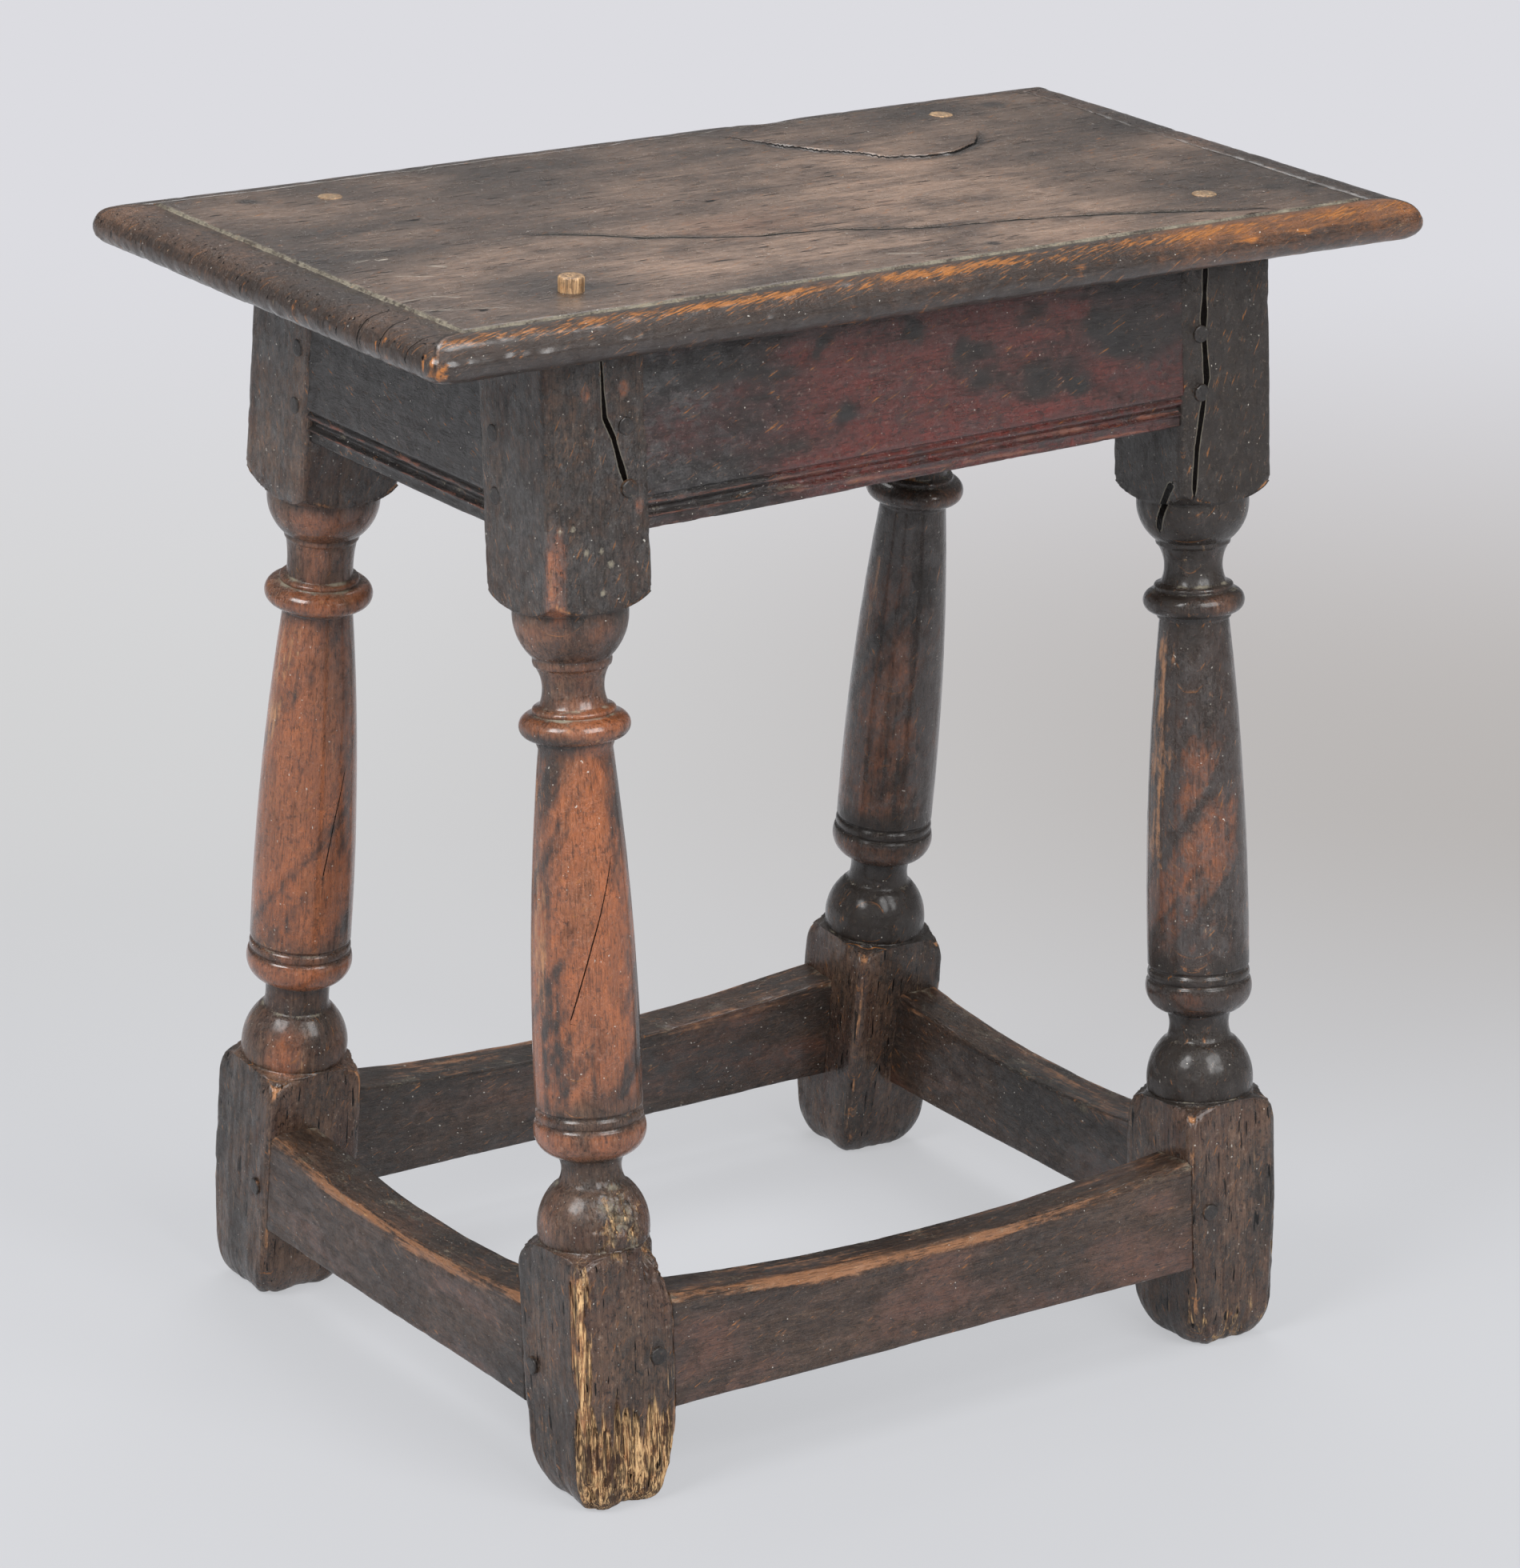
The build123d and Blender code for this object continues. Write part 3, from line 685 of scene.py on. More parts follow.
def arc(height, start, through, end):
    """Radius on the circle through three (height, radius) points, on the side of the middle one."""
    (h0, r0), (h1, r1), (h2, r2) = start, through, end
    twice = 2 * (h0 * (r1 - r2) + h1 * (r2 - r0) + h2 * (r0 - r1))
    q0, q1, q2 = h0**2 + r0**2, h1**2 + r1**2, h2**2 + r2**2
    middle = (q0 * (r1 - r2) + q1 * (r2 - r0) + q2 * (r0 - r1)) / twice
    centre = (q0 * (h2 - h1) + q1 * (h0 - h2) + q2 * (h1 - h0)) / twice
    side = 1 if r1 > r0 + (r2 - r0) * (h1 - h0) / (h2 - h0) else -1
    square = (h0 - middle) ** 2 + (r0 - centre) ** 2 - (height - middle) ** 2
    return centre + side * np.sqrt(np.maximum(square, 0))


def turned_radius(height, leg):
    """Radius the lathe leaves at each height: stretches of (height, radius) points that are arcs through
    three, or straight between two. Beyond the turning it is wider than the blank."""
    foot = SimpleNamespace(**ABOVE_FOOT)
    seat = SimpleNamespace(**{name: AXIS - drop - leg.drop for name, drop in BELOW_SEAT.items()})
    rim = AXIS - BELOW_SEAT["rim"]
    cup = seat.cup + leg.drop / 2
    stretches = [
        [(foot.pommel, CLEAR), (foot.pommel + 4.2, 31.4), (foot.block, 23.6)],
        [(foot.block, 23.9), (foot.block + 6.5, 24.5), (foot.bulb - 1, 16.9)],
        [(foot.bulb - 1, 16.4), (foot.bulb, 15.4)],
        [(foot.bulb, 15.2), (foot.bulb + 6.5, leg.waist), (foot.neck, 15.3)],
        [(foot.neck, 15.6), (foot.neck + 8.5, 24.1), (foot.band, 23.5)],
        [(foot.band, 22.6), (foot.band + 0.9, 23.1), (foot.cushion, 22.9)],
        [(foot.cushion, 22.2), (foot.column, 22.4)],
        [(foot.column, 23.2), ((foot.column + seat.column) / 2, 21.9), (seat.column, 15.9)],
        [(seat.column, 16.9), (seat.ring, 17.0)],
        [(seat.ring, 17.4), (seat.ring + 5.2, leg.ring), (seat.neck - 2.6, 18.6)],
        [(seat.neck - 2.6, 17.4), (seat.neck - 1.2, 18.1), (seat.neck + 0.4, 16.6)],
        [(seat.neck + 0.4, 15.2), (seat.neck + 7.0, leg.neck), (seat.astragal, 16.2)],
        [(seat.astragal, 16.6), (seat.astragal + 1.0, 17.0), (cup, 16.9)],
        [(cup, 17.2), (cup + 0.5 * (rim - cup), leg.cup - 1.0), (rim, leg.cup)],
        [(rim, leg.cup + 0.6), (rim + 2.9, 31.0), (rim + 8.5, CLEAR)],
    ]
    radius = np.full(height.shape, 2 * CLEAR)
    for stretch in stretches:
        inside = (height >= stretch[0][0]) & (height <= stretch[-1][0])
        if len(stretch) == 3:
            curve = arc(height, *stretch)
        else:
            curve = np.interp(height, *zip(*stretch))
        radius = np.where(inside, curve, radius)
    return radius


# %% The four legs
# How far the upper turning stands lower than usual, four radii, how far the turning leans along the
# stool, how rotten and how dark the leg is, how much wider its splits gape, and its seed.
LEG_TRAITS = ("drop", "neck", "waist", "ring", "cup", "lean", "rot", "gloom", "gape", "seed")
LEGS = {
    ("front", "left"): (3.5, 13.4, 13.2, 23.9, 24.6, 0.0, 1.0, 0.0, 0.0, 11),
    ("front", "right"): (0.5, 13.4, 13.8, 23.0, 25.2, 0.0, 0.3, 0.6, 0.45, 23),
    ("back", "left"): (1.0, 15.0, 14.8, 24.4, 25.2, 1.2, 0.3, -0.16, 0.0, 37),
    ("back", "right"): (0.5, 13.8, 14.0, 23.4, 24.8, -1.6, 0.2, 0.5, 0.0, 51),
}
WARMTH = [(96, 0.1), (114, 0.1), (118, 0.3), (132, 0.34), (140, 0.2), (152, 0.25), (156, 0.7), (166, 0.7),
          (169, 0.4), (175, 0.4), (184, 0.7), (230, 0.75), (280, 0.65), (330, 0.6), (337, 0.5), (342, 0.6),
          (349, 0.5), (354, 0.35), (366, 0.4), (371, 0.35), (384, 0.5), (392, 0.25), (404, 0.06)]
DARKNESS = [(96, 0.3), (115, 0.5), (122, 0.48), (134, 0.55), (141, 0.6), (151, 0.55), (156, 0.2),
            (165, 0.25), (168, 0.55), (176, 0.5), (186, 0.3), (215, 0.12), (260, 0.05), (290, 0.14),
            (318, 0.34), (332, 0.45), (337, 0.6), (341, 0.2), (348, 0.3), (353, 0.5), (366, 0.45),
            (372, 0.5), (382, 0.4), (390, 0.6), (404, 0.7)]

# %% The grid of a leg
# Stretches of rows as (from, to, count), close together where the turning is fine.
LEG_ROWS = [(0, 4, 8), (4, 108, 78), (108, 118, 34), (118, 176, 98), (176, 332, 70), (332, 388, 104),
            (388, 402, 38), (402, AXIS, 84)]
OUTER_COLUMNS, INNER_COLUMNS = 58, 34
CROWDING = 0.45
PROFILE_STEP = 0.25
MEAN_SPAN, SLOPE_SPAN = 33, 5
SHARP, FOOT_SHARP, ROUND_BELOW = 30, 6, 46


def leg_columns(leg):
    """Directions round the leg, anticlockwise from above: points along the sides of a square, closer
    together near its corners and on its two outer sides."""
    points = []
    for start, step, outer in (((1, -1), (0, 1), leg.end > 0), ((1, 1), (-1, 0), leg.side > 0),
                               ((-1, 1), (0, -1), leg.end < 0), ((-1, -1), (1, 0), leg.side < 0)):
        even = np.linspace(-1, 1, OUTER_COLUMNS if outer else INNER_COLUMNS, endpoint=False)
        t = 1 + (1 - CROWDING) * even + CROWDING * np.sin(even * math.pi / 2)
        points.append(np.array(start) + t[:, None] * np.array(step))
    square = np.concatenate(points)
    return square / np.linalg.norm(square, axis=1, keepdims=True)


def leg_shape(leg):
    """A leg before wear. Its radius is the lesser of a square, as a superellipse of a high power, and of
    the turned profile. proud is how far the profile stands out from its own running mean, and upward is
    1 where it faces upwards."""
    rows = [np.linspace(low, high, count, endpoint=False) for low, high, count in LEG_ROWS]
    height = np.concatenate([*rows, [AXIS]])[:, None]
    around = leg_columns(leg)
    g = SimpleNamespace(lean_u=around[None, :, 0], lean_v=around[None, :, 1])
    power = SHARP - (SHARP - FOOT_SHARP) * (1 - step_up(height, 0, ROUND_BELOW))
    square = HALF / (abs(g.lean_u) ** power + abs(g.lean_v) ** power) ** (1 / power)
    turned = turned_radius(height, leg)
    g.radius = np.minimum(square, turned)
    fine = np.arange(0, AXIS, PROFILE_STEP)
    profile = np.minimum(turned_radius(fine, leg), HALF)
    padded = np.pad(profile, MEAN_SPAN // 2, mode="edge")
    mean = np.convolve(padded, np.ones(MEAN_SPAN) / MEAN_SPAN, mode="valid")
    rising = np.gradient(np.convolve(profile, np.ones(SLOPE_SPAN) / SLOPE_SPAN, "same"), PROFILE_STEP)
    upward = step_up(-np.interp(height, fine, rising), 0.1, 0.8)
    proud = np.interp(height, fine, profile - mean)
    fields = dict(height=height, square=square, turned=turned, proud=proud, upward=upward)
    for name, values in fields.items():
        setattr(g, name, np.broadcast_to(values, g.radius.shape))
    g.across, g.inward = g.radius * g.lean_u, g.radius * g.lean_v
    return g


# %% [markdown]
# What has happened to a leg since it was made is told by fields over its grid. Noises drawn out along
# the grain make every change irregular. Masks are 1 on one part of the leg and 0 elsewhere: its two
# square blocks, the column, the arrises, the brow where a block has been rounded to meet the turning.
# The numbers in the masks are places and widths, in millimetres or in degrees round the leg. Those in
# the sums are amounts of wear and of paint.
# A few fields also paint light and shade on the column: a highlight, a sheen and shade on its right.

# %% Noises and masks over a leg
LEG_NOISES = {"broad": (16, 16, 60), "fibre": (2.6, 2.6, 34), "chips": (7, 7, 11), "patch": (22, 22, 34),
              "flutter": (3.2, 3.2, 5), "pitted": (1.7, 1.7, 3.2), "smear": (8, 8, 70)}
SEED_STEP = 3
TWIST = 0.035


def from_angle(turn, centre):
    """Degrees from a direction round the leg, between -180 and 180."""
    return (turn - centre + 180) % 360 - 180


def add_masks(g, leg):
    """Add the noises and the masks to a leg's fields."""
    height, widest = g.height, np.maximum(abs(g.across), abs(g.inward))
    g.timber = np.stack([g.across, g.inward, height], -1)
    cos, sin = np.cos(TWIST * height), np.sin(TWIST * height)
    unwound = np.stack([g.across * cos + g.inward * sin, g.inward * cos - g.across * sin, height], -1)
    for step, (name, cell) in enumerate(LEG_NOISES.items()):
        points = unwound if name == "smear" else g.timber
        setattr(g, name, rough(points, cell, leg.seed + SEED_STEP * step))
    g.turn = np.degrees(np.arctan2(g.inward, g.across))
    over_turning = np.maximum(1 - step_up(height, 110, 115), step_up(height, AXIS - 112.5, AXIS - 107))
    g.block = np.maximum(step_up(g.turned - g.square, 0.0, 1.5), over_turning)
    g.upper = g.block * step_up(height, 250, 260)
    g.lower = g.block * (1 - step_up(height, 250, 260))
    g.rounded = 1 - g.block
    g.column = span(height, 176, 186, 325, 338)
    g.corner = np.minimum(abs(g.across), abs(g.inward)) / np.maximum(widest, 1)
    g.arris = step_up(g.corner, 0.84, 0.99) * g.block
    g.outermost = (g.across * leg.end > 0) & (g.inward * leg.side > 0)
    g.brow = bump(g.turned - g.square, 2.2) * (g.turned > g.square) * step_up(g.corner, 0.1, 0.5)
    g.outside_bulb = clamp((np.minimum(g.square, g.turned) - 24.5) / 5) * (height < 200)
    g.hollow = clamp(-g.proud / 2.0)
    foot_top = (44 + 14 * g.broad + 14 * g.fibre) * (0.45 + 0.55 * leg.rot)
    facing = step_up(g.inward * leg.side - 0.35 * abs(g.across), 5, 14) + g.arris * g.outermost
    g.rot = leg.rot * (1 - step_up(height, foot_top - 16, foot_top + 6))
    g.rot = g.rot * step_up(g.patch + 0.75 - height / 110, -0.2, 0.4) * clamp(0.08 + facing)


# %% Wood lost from a leg
def leg_loss(g, leg):
    """Millimetres lost at each point: hollowed faces, chipped arrises, the corners of the lower block
    rounded towards the bulb, a foot whose edge is a quarter circle, and fibres gone with the rot."""
    height, broad, fibre, block = g.height, g.broad, g.fibre, g.block
    chipped = clamp(g.chips)
    loss = 0.35 + 0.3 * broad * block + 0.12 * fibre * block + 0.1 * broad * (1 - block)
    loss += block * 0.25 * clamp(g.flutter)
    loss += g.arris * (0.5 + 0.8 * chipped) * (0.6 + 1.0 * g.lower)
    crown = clamp((height - 101) / 14) ** 2 * g.outside_bulb * step_up(g.corner, 0.3, 0.95)
    loss += g.lower * (0.7 + 0.25 * fibre) + 0.8 * g.brow * (0.7 + 0.6 * g.chips)
    loss += 5.0 * crown * (1 + 0.2 * g.chips)
    under_toe = clamp(1 - height / (17 + 5 * leg.rot))
    loss += 11 * (1 - np.sqrt(clamp(1 - under_toe**2))) * (1 + 0.12 * broad)
    near_floor = 1 - step_up(height, 4, 66)
    loss += 2.2 * near_floor * (0.8 + 0.4 * broad) * (0.6 + 0.7 * step_up(g.corner, 0.4, 1))
    rotten = 0.6 + 2.2 * np.clip(fibre + 0.1, 0, 1.2) + 1.0 * chipped + 0.8 * clamp(g.flutter)
    loss += g.rot * step_up(height, 2, 14) * rotten
    return loss + 0.14 * clamp(fibre) * g.column


# %% Paint of a leg
def leg_paint(g, leg):
    """How worn, dusty, dark, warm and bare a leg is, and the light and shade painted on its column: a
    highlight on its left, put into the wear, a sheen where it faces the camera, and shade on its front
    right. The darkness and the warmth of its turned part are given by height, and the rest by the masks."""
    height, block, column, rounded = g.height, g.block, g.column, g.rounded
    broad, fibre, chips, patch, flutter = g.broad, g.fibre, g.chips, g.patch, g.flutter
    smear = g.smear * column
    # Painted light and shade round the column: a highlight on its left side, shade on its front right.
    painted_light_left = bump(from_angle(g.turn, 170), 34) * column
    painted_shade_right = bump(from_angle(g.turn, -52), 36) * column
    broad_arris = step_up(g.corner, 0.7 + 0.08 * flutter, 0.93) * block if leg.beaten else g.arris
    strip = broad_arris * g.outermost * g.lower * step_up(height, 26, 44)
    strip = strip * np.clip(0.35 + 0.9 * chips + 0.4 * leg.beaten, 0, 1.2)

    wear = g.arris * (0.16 + 0.5 * g.lower) * (0.4 + 0.8 * chips) + g.brow * clamp(0.3 + 0.5 * chips)
    wear += (1 - step_up(height, 10, 70)) * g.lower * clamp(0.1 + 0.6 * patch) * leg.rot
    # Painted highlight on the left of the column, carried as wear.
    wear += 0.6 * painted_light_left * clamp(0.1 + 0.7 * broad + 0.5 * fibre)
    wear += 0.5 * column * clamp(0.4 * patch + 0.5 * chips - 0.1)
    wear += clamp(g.proud / 2.2) * rounded * clamp(0.8 * fibre + 0.3 * chips - 0.02)

    dust = g.hollow * (0.25 + 0.75 * g.upward) * (0.6 + 0.5 * chips) + 0.2 * g.upper * clamp(flutter)
    dust += 0.3 * g.upward * rounded * step_up(chips, 0.1, 0.9)
    dust += 0.35 * g.brow * g.lower * clamp(0.5 + flutter)

    on_end = step_up(-g.across * leg.end, -20, -24)
    by_height = np.interp(height, *zip(*DARKNESS))
    dark = g.upper * (0.7 + 0.22 * patch + 0.9 * leg.gloom)
    dark += g.lower * (0.34 + 0.3 * patch + 0.3 * on_end + 0.3 * leg.gloom)
    dark += rounded * (by_height + 0.3 * g.hollow + 0.26 * patch + 0.95 * leg.gloom)
    # Painted shade on the front right of the column.
    dark += 0.6 * leg.gloom * column * (height - 250) / 80 + painted_shade_right * (0.28 + 0.2 * patch)
    dark += 0.35 * column * clamp(fibre - 0.1) + 0.55 * clamp(smear - 0.1)
    # Painted sheen: the upper column lighter on the side that faces the camera.
    dark -= 0.3 * bump(g.turn + 132, 24) * column * step_up(height, 236, 290)

    by_height = np.interp(height, *zip(*WARMTH))
    red_arris = g.arris * clamp(0.6 * chips - (height - 400) / 60)
    warm = rounded * (by_height + 0.28 * broad - 0.2 * leg.gloom) + 0.12 * g.lower
    # The painted shade on the front right is redder as well.
    warm += (0.05 + 0.75 * red_arris) * g.upper + 0.2 * painted_shade_right + 0.35 * clamp(-smear)

    raw = g.rot * np.clip(0.95 + 0.6 * chips + 0.6 * fibre + 0.7 * patch, 0, 1.2) + 0.85 * strip
    bloom = g.upper * (0.5 + 0.3 * patch - 0.7 * max(leg.gloom, 0)) + g.lower * 0.06
    bloom += 0.1 * rounded * (1 - column) + 0.9 * leg.gloom * column
    return dict(wear=wear, dust=dust, dark=dark, warm=warm, raw=raw, bloom=bloom,
                mark=0.1 * patch + 0.24 * g.lower, mottle=0.62 + 0.33 * block)


# %% [markdown]
# The front left leg has had the most. Its bulb is beaten and the shoulder of the block beside it broken
# off, and above the foot one arris is flayed. Small spots of lichen and orange wax sit on its front.

# %% Damage to the front left leg
LICHEN = [(-184.2, 428), (-178, 428), (-171.9, 417.1), (-164.4, 416.7), (-159.6, 410.9), (-164, 399.2)]
ORANGE_SPOTS = [(-169.3, 484.6), (-150.6, 484.7), (-144.9, 433.3)]


def damage(g, loss, paint):
    """Add the damage to a leg's loss and paint. Returns the new loss."""
    height, fibre, chips, flutter, pitted = g.height, g.fibre, g.chips, g.flutter, g.pitted
    on_front = g.inward < -18
    beaten = bump(g.turn + 88, 30) * bump(height - 124, 15) * step_up(chips + 0.4 * flutter, -0.6, 0.15)
    shoulder = bump(g.turn + 46, 25) * clamp((height - 84) / 31) * g.outside_bulb
    from_arris = g.across + HALF
    flayed = step_up(6 + 4.5 * chips + 3 * fibre - from_arris, 0, 2.5) * on_front
    flayed = flayed * step_up(height + 7 * fibre, 60, 70) * (1 - step_up(height, 105, 112))
    loss = loss + 1.3 * flayed * (0.5 + 0.6 * fibre)
    loss += 2.2 * beaten * (0.6 + clamp(flutter + fibre) + 1.4 * clamp(pitted))
    loss += 10.5 * shoulder * (1 + 0.2 * flutter + 0.15 * pitted)
    below = bump(from_arris - 2, 4) * on_front * (1 - step_up(height, 60, 70))
    add_to(paint, raw=0.42 * flayed * clamp(0.6 + 0.8 * fibre + 0.6 * chips),
           wear=0.5 * flayed + 0.45 * below)
    add_to(paint, raw=0.75 * beaten * clamp(flutter + 0.7) + 0.4 * shoulder * clamp(0.5 + 1.2 * chips),
           dust=0.8 * beaten * clamp(0.8 + pitted) + 0.6 * shoulder * clamp(0.7 + pitted),
           dark=1.2 * (beaten + shoulder) * clamp(-pitted - 0.2))
    return loss


def stains(g, paint):
    """Add a leg's stains, its dusty joint line and its small spots to its paint."""
    height, turn = g.height, g.turn
    blushed = bump(turn + 134 - (height - 385) / 12, 7) * span(height, 384, 392, 418, 436)
    add_to(paint, warm=1.5 * blushed, dark=-0.65 * blushed, wear=0.2 * blushed)
    joint = bump(g.inward - HALF, 2.2) * (g.across < -20) * bump(height - 455, 16)
    add_to(paint, dust=0.9 * joint * clamp(0.8 + g.chips))
    on_face = g.inward < -20
    for x, up in LICHEN:
        add_to(paint, dust=0.9 * bump(np.hypot(g.across - LEG_X - x, height - up), 1.5) * on_face)
    for x, up in ORANGE_SPOTS:
        rosy = bump(np.hypot(g.across - LEG_X - x, (height - up) * 0.6), 2.4) * on_face
        add_to(paint, warm=1.1 * rosy, dark=-0.38 * rosy, wear=0.1 * rosy)
    stain = bump(turn + 166, 24) * bump(height - 205, 30)
    stain += bump(turn + 150, 16) * bump(height - 290, 26) * 0.6
    add_to(paint, dark=0.75 * stain * (0.7 + 0.7 * g.flutter), dust=0.3 * stain * clamp(g.flutter))


# %% [markdown]
# The splits in the square blocks are drawn on the outer faces, in millimetres from the middle of the
# stool and up the leg, and those in the turned part by their angle. A split opens and closes along its
# path. Splits aren't cut into the grid: the finish shows them, as black lines.

# %% Splits in the legs
FACE_SPLITS = {
    ("front", "left"): [(-161.2, 502), (-160.8, 483), (-160.4, 473), (-156.4, 464), (-153.9, 454),
                        (-151.6, 445), (-151, 440)],
    ("front", "right"): [(153.4, 502), (153.0, 494), (151.8, 470), (153.2, 447), (147.4, 417),
                         (145.9, 403), (145.4, 394)],
    ("back", "left"): [(-158, 500), (-157, 470), (-158.6, 448)],
    ("back", "right"): [(160, 496), (161.5, 466)],
}
# Half a crack's width, and its path as (angle, height).
TURNED_CRACKS = {
    ("front", "left"): (0.22, [(-82, 284), (-100, 263), (-112, 250), (-125, 234), (-139, 217)]),
    ("front", "right"): (1.3, [(-147, 400), (-156, 392), (-163, 385), (-168, 379)]),
    ("back", "left"): (0.22, [(-70, 262), (-84, 240), (-96, 214)]),
}
UNROLLED = math.radians(23)
WANDER_CELL, WANDER_SEED = 9.0, 40


def draw_splits(paint, leg, corner, across, inward, height):
    """Add a leg's splits to its paint, as the signed distance to a split and half its width."""
    on_face = inward * leg.side > 0.97 * HALF - 3
    path = FACE_SPLITS[corner]
    signed = path_distance(across + leg.end * LEG_X, height, path)
    along = np.stack([0 * height, 0 * height, height], -1)
    wide = 0.4 + 1.0 * value_noise(along, WANDER_CELL, leg.seed + WANDER_SEED) + leg.gape
    wide = wide * step_up(height, path[-1][1] - 1, path[-1][1] + 6)
    gap = np.where((abs(signed) < 4) & on_face, signed, NO_GAP)
    open_width = np.where((abs(signed) < 3) & on_face, wide, 0.0)
    if corner in TURNED_CRACKS:
        width, path = TURNED_CRACKS[corner]
        turn = np.degrees(np.arctan2(inward, across))
        signed = path_distance(turn * UNROLLED, height, [(angle * UNROLLED, up) for angle, up in path])
        gap = np.where(abs(signed) < 3, signed, gap)
        open_width = np.where(abs(signed) < 3, width, open_width)
    paint.update(gap=gap, open=open_width, rim=0.75 * (open_width > 0.4))


def raked(x, side, outward, up):
    """Points in the plane of a pair of raked legs: x along the stool, outward square to the plane, and
    up along the legs."""
    return np.stack([x, side * LEG_Y + outward * COS - side * up * SIN, up * COS + outward * side * SIN], -1)


def make_leg(side_name, end_name):
    """A leg, worn and raked, with both its ends level."""
    corner = side_name, end_name
    node = f"leg_{side_name}_{end_name}"
    leg = SimpleNamespace(side=SIDES[side_name], end=ENDS[end_name], beaten=corner == ("front", "left"),
                          **dict(zip(LEG_TRAITS, LEGS[corner])))
    g = leg_shape(leg)
    add_masks(g, leg)
    loss, paint = leg_loss(g, leg), leg_paint(g, leg)
    if leg.beaten:
        loss = damage(g, loss, paint)
        stains(g, paint)
    radius = g.radius - np.maximum(loss, 0.02)
    leaning = leg.lean * span(g.height, 100, 125, 385, 400)
    across, inward = radius * g.lean_u + leaning, radius * g.lean_v
    draw_splits(paint, leg, corner, across, inward, g.height)
    near_ends = clamp(np.maximum(1 - g.height / 90, 1 - (AXIS - g.height) / 60))
    along = g.height - inward * leg.side * TAN * near_ends
    place = raked(leg.end * LEG_X + across, leg.side, inward, along)
    place[..., 2] = np.clip(place[..., 2], 0.0, UNDERSIDE)
    timber = np.stack([across, inward, g.height], -1) + leg.seed * 100.0
    make_stack(f"turned_{node}", place, timber, paint, "leg_oak", node)


for side_name in SIDES:
    for end_name in ENDS:
        make_leg(side_name, end_name)

# %% [markdown]
# ## Seat board
#
# The board is one plank, rounded along its edges by a thumb moulding, inside which a line is scratched.
# Its top is a plain grid. Rings run from the middle of the underside, out round the moulded edge and
# over the scratched line, to the rim of that grid. On the ends the plane tears the end grain, and the
# edge stayed blunter, so the section changes from one shape to the other at the mitres.

# %% The board's rings and its top
THUMB = np.array([23.5, 18.0])
QUIRK_WIDTH, QUIRK_DEPTH, QUIRK_RIM, THUMB_DROP = 2.3, 1.4, 0.4, 0.6
NOSE, CORNER_ROUND = 8.0, 10.0
BOARD_HALF = (BOARD_BOX[1] - BOARD_BOX[0])[:2] / 2
RIM_HALF = BOARD_HALF - THUMB
TOP_HALF = RIM_HALF - QUIRK_WIDTH - QUIRK_RIM
TOP_CELLS = (318, 168)
REACH_POWERS = np.array([4.2, 2.2])
LIFT_POWERS = (1.9, 1.6)
UNDER_PARTS = (0.12, 0.35, 0.6, 0.8, 0.92)
# Rings over the scratched line, as (distance inside the moulding, height from the top).
QUIRK_RINGS = ((0.25, 0.2 - QUIRK_DEPTH), (0.8, -QUIRK_DEPTH), (1.4, 0.1 - QUIRK_DEPTH),
               (1.9, 0.5 - QUIRK_DEPTH), (QUIRK_WIDTH, -0.3), (QUIRK_WIDTH + QUIRK_RIM, 0.0))


def top_rim():
    """Grid steps (i, j) round the rim of the top, anticlockwise from above."""
    wide, deep = TOP_CELLS
    i = np.concatenate([np.arange(wide), np.full(deep, wide), np.arange(wide, 0, -1), np.zeros(deep, int)])
    j = np.concatenate([np.zeros(wide, int), np.arange(deep), np.full(wide, deep), np.arange(deep, 0, -1)])
    return i, j


def board_ring(unit, halves, corner):
    """Rectangle of the given half sizes through the unit square's rim points, its corners rounded by
    drawing the points in each corner square onto an arc."""
    place = unit * halves
    beyond = np.abs(place) - (halves - corner)
    inside = (beyond > 0).all(-1, keepdims=True)
    length = np.maximum(np.linalg.norm(beyond, axis=-1, keepdims=True), 1e-9)
    rounded = np.sign(place) * (halves - corner + beyond / length * corner)
    return np.where(inside & (corner > 0.01), rounded, place)


def board_rings(unit):
    """All rings from under the board to the rim of its top. Each is a rectangle, its reach past the rim
    and its height given by a superellipse over the nose and a quarter circle under it."""
    to_corner = (1 - np.abs(unit)) * BOARD_HALF
    on_end = np.abs(unit[:, 0]) > 1 - 1e-9
    share = 0.5 + 0.5 * np.where(on_end, step_up(to_corner[:, 1], 0, 11), -step_up(to_corner[:, 0], 0, 11))
    rings = []

    def add(halves, corner, height):
        flat = board_ring(unit, halves, corner)
        rings.append(np.column_stack([flat, np.broadcast_to(height, len(unit))]))

    for part in UNDER_PARTS:
        add((BOARD_HALF - NOSE) * part, 2.0 * part, UNDERSIDE)
    for turn in np.linspace(math.pi / 2, 0, 8, endpoint=False):
        cos, sin = math.cos(turn), math.sin(turn)
        add(BOARD_HALF - NOSE * (1 - cos), CORNER_ROUND - 3 * sin, UNDERSIDE + NOSE * (1 - sin))
    rise = SEAT_TOP - THUMB_DROP - UNDERSIDE - NOSE
    for turn in np.linspace(math.pi / 2, 0, 17):
        reach = THUMB * math.sin(turn) ** (2 / REACH_POWERS)
        lift = rise * max(math.cos(turn), 0) ** (2 / (LIFT_POWERS[0] * (1 - share) + LIFT_POWERS[1] * share))
        add(RIM_HALF + reach, CORNER_ROUND * math.sin(turn) ** 1.6, UNDERSIDE + NOSE + lift)
    for inset, height in QUIRK_RINGS:
        add(RIM_HALF - inset, 0.0, SEAT_TOP + height)
    return np.array(rings), share


